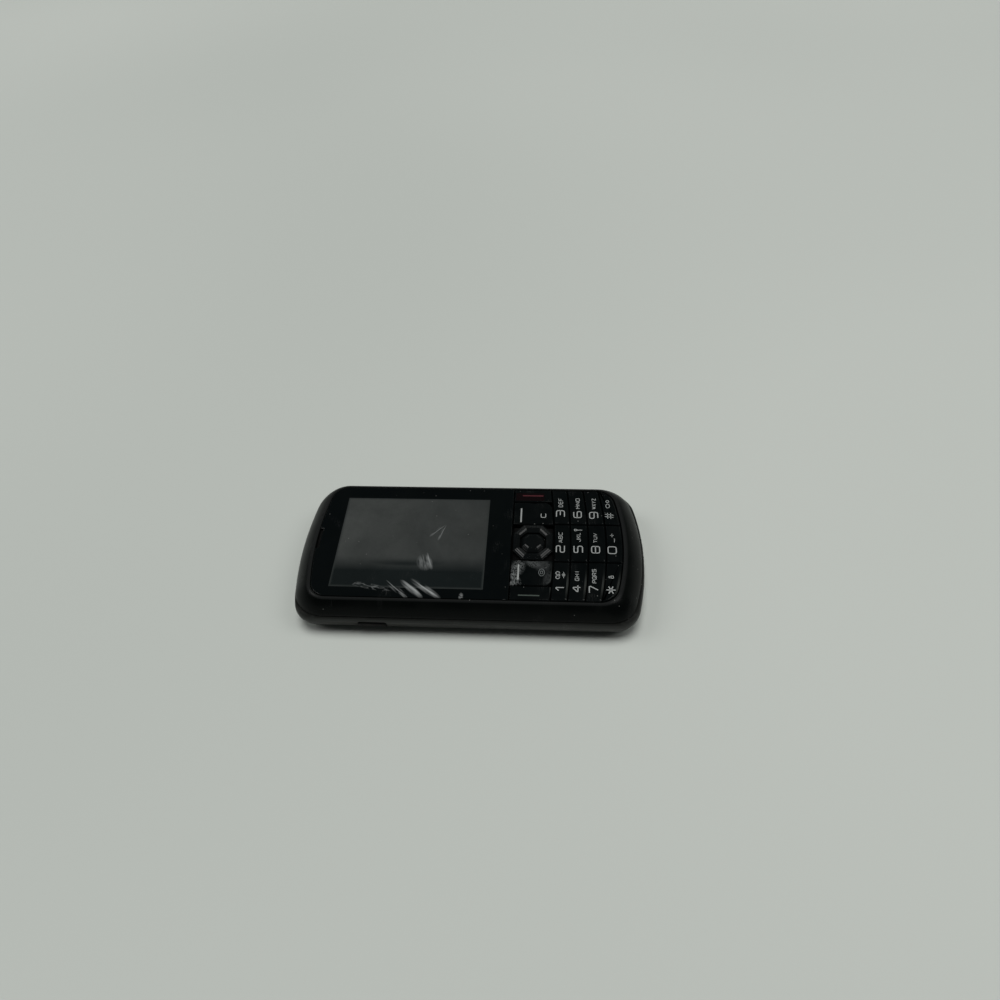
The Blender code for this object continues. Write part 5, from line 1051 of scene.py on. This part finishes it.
glyphs = {
    "0": [[(0, 0), (1, 0), (1, 1), (0, 1), (0, 0)]],
    "1": [[(0.0, 0.6), (0.45, 1), (0.45, 0)]],
    "2": [[(0, 1), (1, 1), (1, 0.52), (0, 0.52), (0, 0), (1, 0)]],
    "3": [[(0, 1), (1, 1), (1, 0), (0, 0)], [(0.25, 0.52), (1, 0.52)]],
    "4": [[(0.75, 0), (0.75, 1), (0, 0.3), (1.05, 0.3)]],
    "5": [[(1, 1), (0, 1), (0, 0.55), (1, 0.55), (1, 0), (0, 0)]],
    "6": [[(0.9, 1), (0, 1), (0, 0), (1, 0), (1, 0.55), (0, 0.55)]],
    "7": [[(0, 1), (1, 1), (0.4, 0)]],
    "8": [[(0, 0), (1, 0), (1, 1), (0, 1), (0, 0)], [(0, 0.52), (1, 0.52)]],
    "9": [[(0.1, 0), (1, 0), (1, 1), (0, 1), (0, 0.45), (1, 0.45)]],
    "*": [[(0.5, 0), (0.5, 1)], [(0.05, 0.25), (0.95, 0.75)], [(0.05, 0.75), (0.95, 0.25)]],
    "#": [[(0.25, 0), (0.38, 1)], [(0.65, 0), (0.78, 1)], [(0, 0.32), (1, 0.32)], [(0.03, 0.68), (1.03, 0.68)]],
    "A": [[(0, 0), (0.5, 1), (1, 0)], [(0.2, 0.32), (0.8, 0.32)]],
    "B": [[(0, 0), (0, 1), (0.9, 1), (0.9, 0.52), (0, 0.52)], [(0.6, 0.52), (1, 0.52), (1, 0), (0, 0)]],
    "C": [[(1, 1), (0, 1), (0, 0), (1, 0)]],
    "D": [[(0, 0), (0, 1), (0.7, 1), (1, 0.7), (1, 0.3), (0.7, 0), (0, 0)]],
    "E": [[(1, 1), (0, 1), (0, 0), (1, 0)], [(0, 0.5), (0.9, 0.5)]],
    "F": [[(1, 1), (0, 1), (0, 0)], [(0, 0.5), (0.85, 0.5)]],
    "G": [[(1, 1), (0, 1), (0, 0), (1, 0), (1, 0.5), (0.55, 0.5)]],
    "H": [[(0, 0), (0, 1)], [(1, 0), (1, 1)], [(0, 0.5), (1, 0.5)]],
    "I": [[(0.5, 0), (0.5, 1)]],
    "J": [[(0, 0.35), (0, 0), (0.9, 0), (0.9, 1)]],
    "K": [[(0, 0), (0, 1)], [(1, 1), (0.05, 0.45)], [(0.3, 0.6), (1, 0)]],
    "L": [[(0, 1), (0, 0), (0.95, 0)]],
    "M": [[(0, 0), (0, 1), (0.5, 0.35), (1, 1), (1, 0)]],
    "N": [[(0, 0), (0, 1), (1, 0), (1, 1)]],
    "O": [[(0, 0), (1, 0), (1, 1), (0, 1), (0, 0)]],
    "P": [[(0, 0), (0, 1), (1, 1), (1, 0.45), (0, 0.45)]],
    "Q": [[(0, 0), (1, 0), (1, 1), (0, 1), (0, 0)], [(0.6, 0.35), (1.1, -0.15)]],
    "R": [[(0, 0), (0, 1), (1, 1), (1, 0.45), (0, 0.45)], [(0.5, 0.45), (1, 0)]],
    "S": [[(1, 1), (0, 1), (0, 0.55), (1, 0.55), (1, 0), (0, 0)]],
    "T": [[(0, 1), (1, 1)], [(0.5, 1), (0.5, 0)]],
    "U": [[(0, 1), (0, 0), (1, 0), (1, 1)]],
    "V": [[(0, 1), (0.5, 0), (1, 1)]],
    "W": [[(0, 1), (0.25, 0), (0.5, 0.8), (0.75, 0), (1, 1)]],
    "X": [[(0, 0), (1, 1)], [(0, 1), (1, 0)]],
    "Y": [[(0, 1), (0.5, 0.5), (1, 1)], [(0.5, 0.5), (0.5, 0)]],
    "Z": [[(0, 1), (1, 1), (0, 0), (1, 0)]],
    "_": [[(0, 0.1), (0.25, -0.1), (0.75, -0.1), (1, 0.1)]],
    "+": [[(0, 0.5), (1, 0.5)], [(0.5, 0), (0.5, 1)]],
    "-": [[(0, 0.5), (1, 0.5)]],
    "@": [
        [(0.3, 0), (0.7, 0), (1, 0.3), (1, 0.7), (0.7, 1), (0.3, 1), (0, 0.7), (0, 0.3), (0.3, 0)],
        [(0.3, 0.3), (0.7, 0.3), (0.7, 0.7), (0.3, 0.7), (0.3, 0.3)],
    ],
    "o": [[(0.3, 0), (0.7, 0), (1, 0.3), (1, 0.7), (0.7, 1), (0.3, 1), (0, 0.7), (0, 0.3), (0.3, 0)]],
    "d": [[(0.5, 0), (1, 0.5), (0.5, 1), (0, 0.5), (0.5, 0)]],
    "c": [[(0.95, 0.95), (0.5, 1), (0, 0.95), (0, 0.05), (0.5, 0), (0.95, 0.05)]],
    "q": [
        [(0.5, 0.1), (0.1, 0.5), (0.5, 0.9), (0.9, 0.5), (0.5, 0.1)],
        [(0.5, -0.1), (0.5, 1.1)], [(-0.1, 0.5), (1.1, 0.5)],
    ],
    "t": [[(0.5, 0), (0.5, 0.55), (0.1, 1), (0.9, 1), (0.5, 0.55)]],
    "v": [
        [(0.12, 0), (0.3, 0), (0.42, 0.3), (0.42, 0.7), (0.3, 1), (0.12, 1), (0, 0.7), (0, 0.3), (0.12, 0)],
        [(0.7, 0), (0.88, 0), (1, 0.3), (1, 0.7), (0.88, 1), (0.7, 1), (0.58, 0.7), (0.58, 0.3), (0.7, 0)],
        [(0.2, 0), (0.8, 0)],
    ],
    "u": [[(0.1, 0), (0.1, 0.5), (0.9, 0.5), (0.9, 0), (0.1, 0)], [(0.25, 0.5), (0.25, 1), (0.75, 1), (0.75, 0.5)]],
}

legendSizes = {
    "lift": 0.012, "thickness": 0.02, "round": 0.28, "roundSteps": 3, "space": 0.36,
    "mitre": 0.5,       # the least cosine at a bend, so that a sharp one stays short
    "patchDrop": 0.006,
}


def strokeRings(points, width, closed):
    # A line's left and right banks: each point moves along its mitre by half the width.
    ahead = np.roll(points, -1, axis=0) - points
    behind = points - np.roll(points, 1, axis=0)
    if not closed:
        ahead[-1], behind[0] = behind[-1], ahead[0]
    ahead = ahead / np.linalg.norm(ahead, axis=1)[:, None]
    behind = behind / np.linalg.norm(behind, axis=1)[:, None]
    middle = ahead + behind
    middle /= np.linalg.norm(middle, axis=1)[:, None]
    stretch = 1 / np.maximum((middle * ahead).sum(1), legendSizes["mitre"])
    bank = np.column_stack([-middle[:, 1], middle[:, 0]]) * (stretch * width / 2)[:, None]
    return points + bank, points - bank


def strokeMesh(points, width, closed, z):
    # A flat bar of small thickness: four banks per point, quads between, ends capped where it is open.
    left, right = strokeRings(points, width, closed)
    low, high = z + legendSizes["lift"] - legendSizes["thickness"], z + legendSizes["lift"]
    banks = ((left, high), (right, high), (right, low), (left, low))
    section = np.stack([atHeight(bank, height) for bank, height in banks], axis=1)
    count = len(points)
    faces = ringFaces(count, 4, closed)
    if not closed:
        faces += [[3, 2, 1, 0], [4 * count - 4, 4 * count - 3, 4 * count - 2, 4 * count - 1]]
    return section.reshape(-1, 3), faces


def legendMesh(name, marks, z):
    # Marks are (text, x from, x to, y from, y to, pen): the letters share the width, a fixed space apart.
    points, faces, start, space = [], [], 0, legendSizes["space"]
    for text, x0, x1, y0, y1, pen in marks:
        width = (x1 - x0 - (len(text) - 1) * space) / len(text)
        for i, stroke in [(i, stroke) for i, letter in enumerate(text) for stroke in glyphs[letter]]:
            line = np.array(stroke, dtype=float)
            closed = len(line) > 3 and np.allclose(line[0], line[-1])
            line = (line[:-1] if closed else line) * (width, y1 - y0) + (x0 + i * (width + space), y0)
            if len(line) > 2:
                radius = legendSizes["round"] * (y1 - y0)
                line = filleted(line[:, None], radius, closed, legendSizes["roundSteps"])[:, 0]
            made, quads = strokeMesh(line, pen, closed, z)
            points.append(made)
            faces += [[v + start for v in quad] for quad in quads]
            start += len(made)
    mesh = bpy.data.meshes.new(name)
    mesh.from_pydata((np.vstack(points) * mm).tolist(), [], faces)
    return turnOutwards(mesh)


def addLegend(name, marks, look, body, z=face):
    # Flat bars on the cap that they ride with.
    return addPiece(name, legendMesh(name, marks, z), look, body, smooth=40)


pen, thinPen, iconPen = 0.29, 0.17, 0.2             # widths of the strokes: numbers, letters, icons
barPen, markPen, patchPen = 0.42, 0.36, 2.9
starPen, hashPen, dotPen = 0.3, 0.22, 0.15
legends = {     # text, x from, x to, y from, y to, pen
    "key_1": [("1", -16.3, -14.1, -26.5, -24.1, pen), ("v", -12.45, -10.1, -25.3, -24.3, iconPen),
              ("q", -12.0, -10.35, -26.85, -25.95, thinPen)],
    "key_2": [("2", -3.45, -1.2, -26.6, -24.35, pen), ("ABC", -0.05, 3.55, -26.0, -25.0, thinPen)],
    "key_3": [("3", 9.4, 11.7, -26.57, -24.3, pen), ("DEF", 13.1, 16.3, -26.1, -24.92, thinPen)],
    "key_4": [("4", -16.78, -14.6, -30.85, -28.7, pen), ("GHI", -12.95, -9.6, -30.5, -29.5, thinPen)],
    "key_5": [("5", -3.45, -1.2, -31.6, -29.25, pen), ("JKL", 0.45, 3.55, -31.05, -30.05, thinPen),
              ("t", 4.05, 5.05, -31.6, -29.4, iconPen)],
    "key_6": [("6", 9.15, 11.45, -31.42, -29.27, pen), ("MNO", 12.6, 16.4, -30.95, -29.92, thinPen)],
    "key_7": [("7", -16.78, -14.5, -35.55, -33.22, pen), ("PQRS", -13.6, -9.1, -35.15, -34.15, thinPen)],
    "key_8": [("8", -3.5, -1.2, -36.33, -34.12, pen), ("TUV", 0.15, 3.4, -35.67, -34.77, thinPen)],
    "key_9": [("9", 8.95, 11.25, -36.13, -33.8, pen), ("WXYZ", 12.55, 16.5, -35.6, -34.6, thinPen)],
    "key_star": [("*", -17.0, -14.5, -40.15, -37.75, starPen), ("u", -12.05, -11.05, -39.75, -38.55, iconPen)],
    "key_0": [("0", -3.6, -1.2, -40.9, -38.65, pen), ("_", 0.4, 1.7, -40.5, -40.1, thinPen),
              ("+", 2.2, 3.45, -40.4, -39.4, thinPen)],
    "key_hash": [("#", 8.9, 11.05, -40.6, -38.2, hashPen), ("o", 13.0, 14.5, -39.6, -38.55, thinPen),
                 ("d", 14.9, 16.0, -39.6, -38.5, thinPen)],
    "right_function_key": [("-", 7.1, 12.3, -14.65, -13.65, barPen), ("c", 9.0, 10.5, -21.25, -19.85, hashPen)],
    "left_function_key": [("-", -13.05, -7.95, -14.57, -13.57, barPen)],
}
for name, marks in legends.items():
    addLegend(name + "_legend", marks, "legendWhite", name + "_body")
patchHeight = face - legendSizes["patchDrop"]
addLegend("leftSmallMark", [("@", -11.65, -9.35, -21.2, -19.65, dotPen)], "legendDim", "left_function_key_body")
addLegend("callMark", [("I", -18.58, -17.58, -20.0, -14.3, markPen)], "barGreen", "call_key_body")
addLegend("endPatch", [("I", 16.3, 17.3, -20.7, -12.4, patchPen)], "patchRed", "end_key_body", patchHeight)
addLegend("endMark", [("I", 16.75, 17.75, -20.4, -14.35, markPen)], "barRed", "end_key_body")
print("legends ready")

# the table: one square, a little cloudy

tableSizes = {
    "half": 20.0, "colour": (0.525, 0.552, 0.522), "dark": (0.48, 0.508, 0.48),
    "roughness": 0.75, "specular": 0.15, "cloudScale": 2.2, "cloudEdge": (0.35, 0.65),
}


def addTable(t):
    # A square about the origin, its colour between two shades by a broad noise.
    half = t["half"]
    mesh = bpy.data.meshes.new("table")
    mesh.from_pydata([(-half, -half, 0), (half, -half, 0), (half, half, 0), (-half, half, 0)], [], [(0, 1, 2, 3)])
    table = bpy.data.objects.new("table", mesh)
    bpy.context.scene.collection.objects.link(table)
    look = bpy.data.materials.new("tableLook")
    look.use_nodes = True
    tree = look.node_tree
    shader = tree.nodes["Principled BSDF"]
    shader.inputs["Roughness"].default_value = t["roughness"]
    shader.inputs["Specular IOR Level"].default_value = t["specular"]
    cloud = noiseAt(tree, objectPlace(tree), Scale=t["cloudScale"], Detail=1.0)
    shade = mixColour(tree, ramp(tree, cloud, *t["cloudEdge"]), t["dark"], t["colour"])
    feed(tree, shader.inputs["Base Color"], shade)
    mesh.materials.append(look)


addTable(tableSizes)
print("table ready")
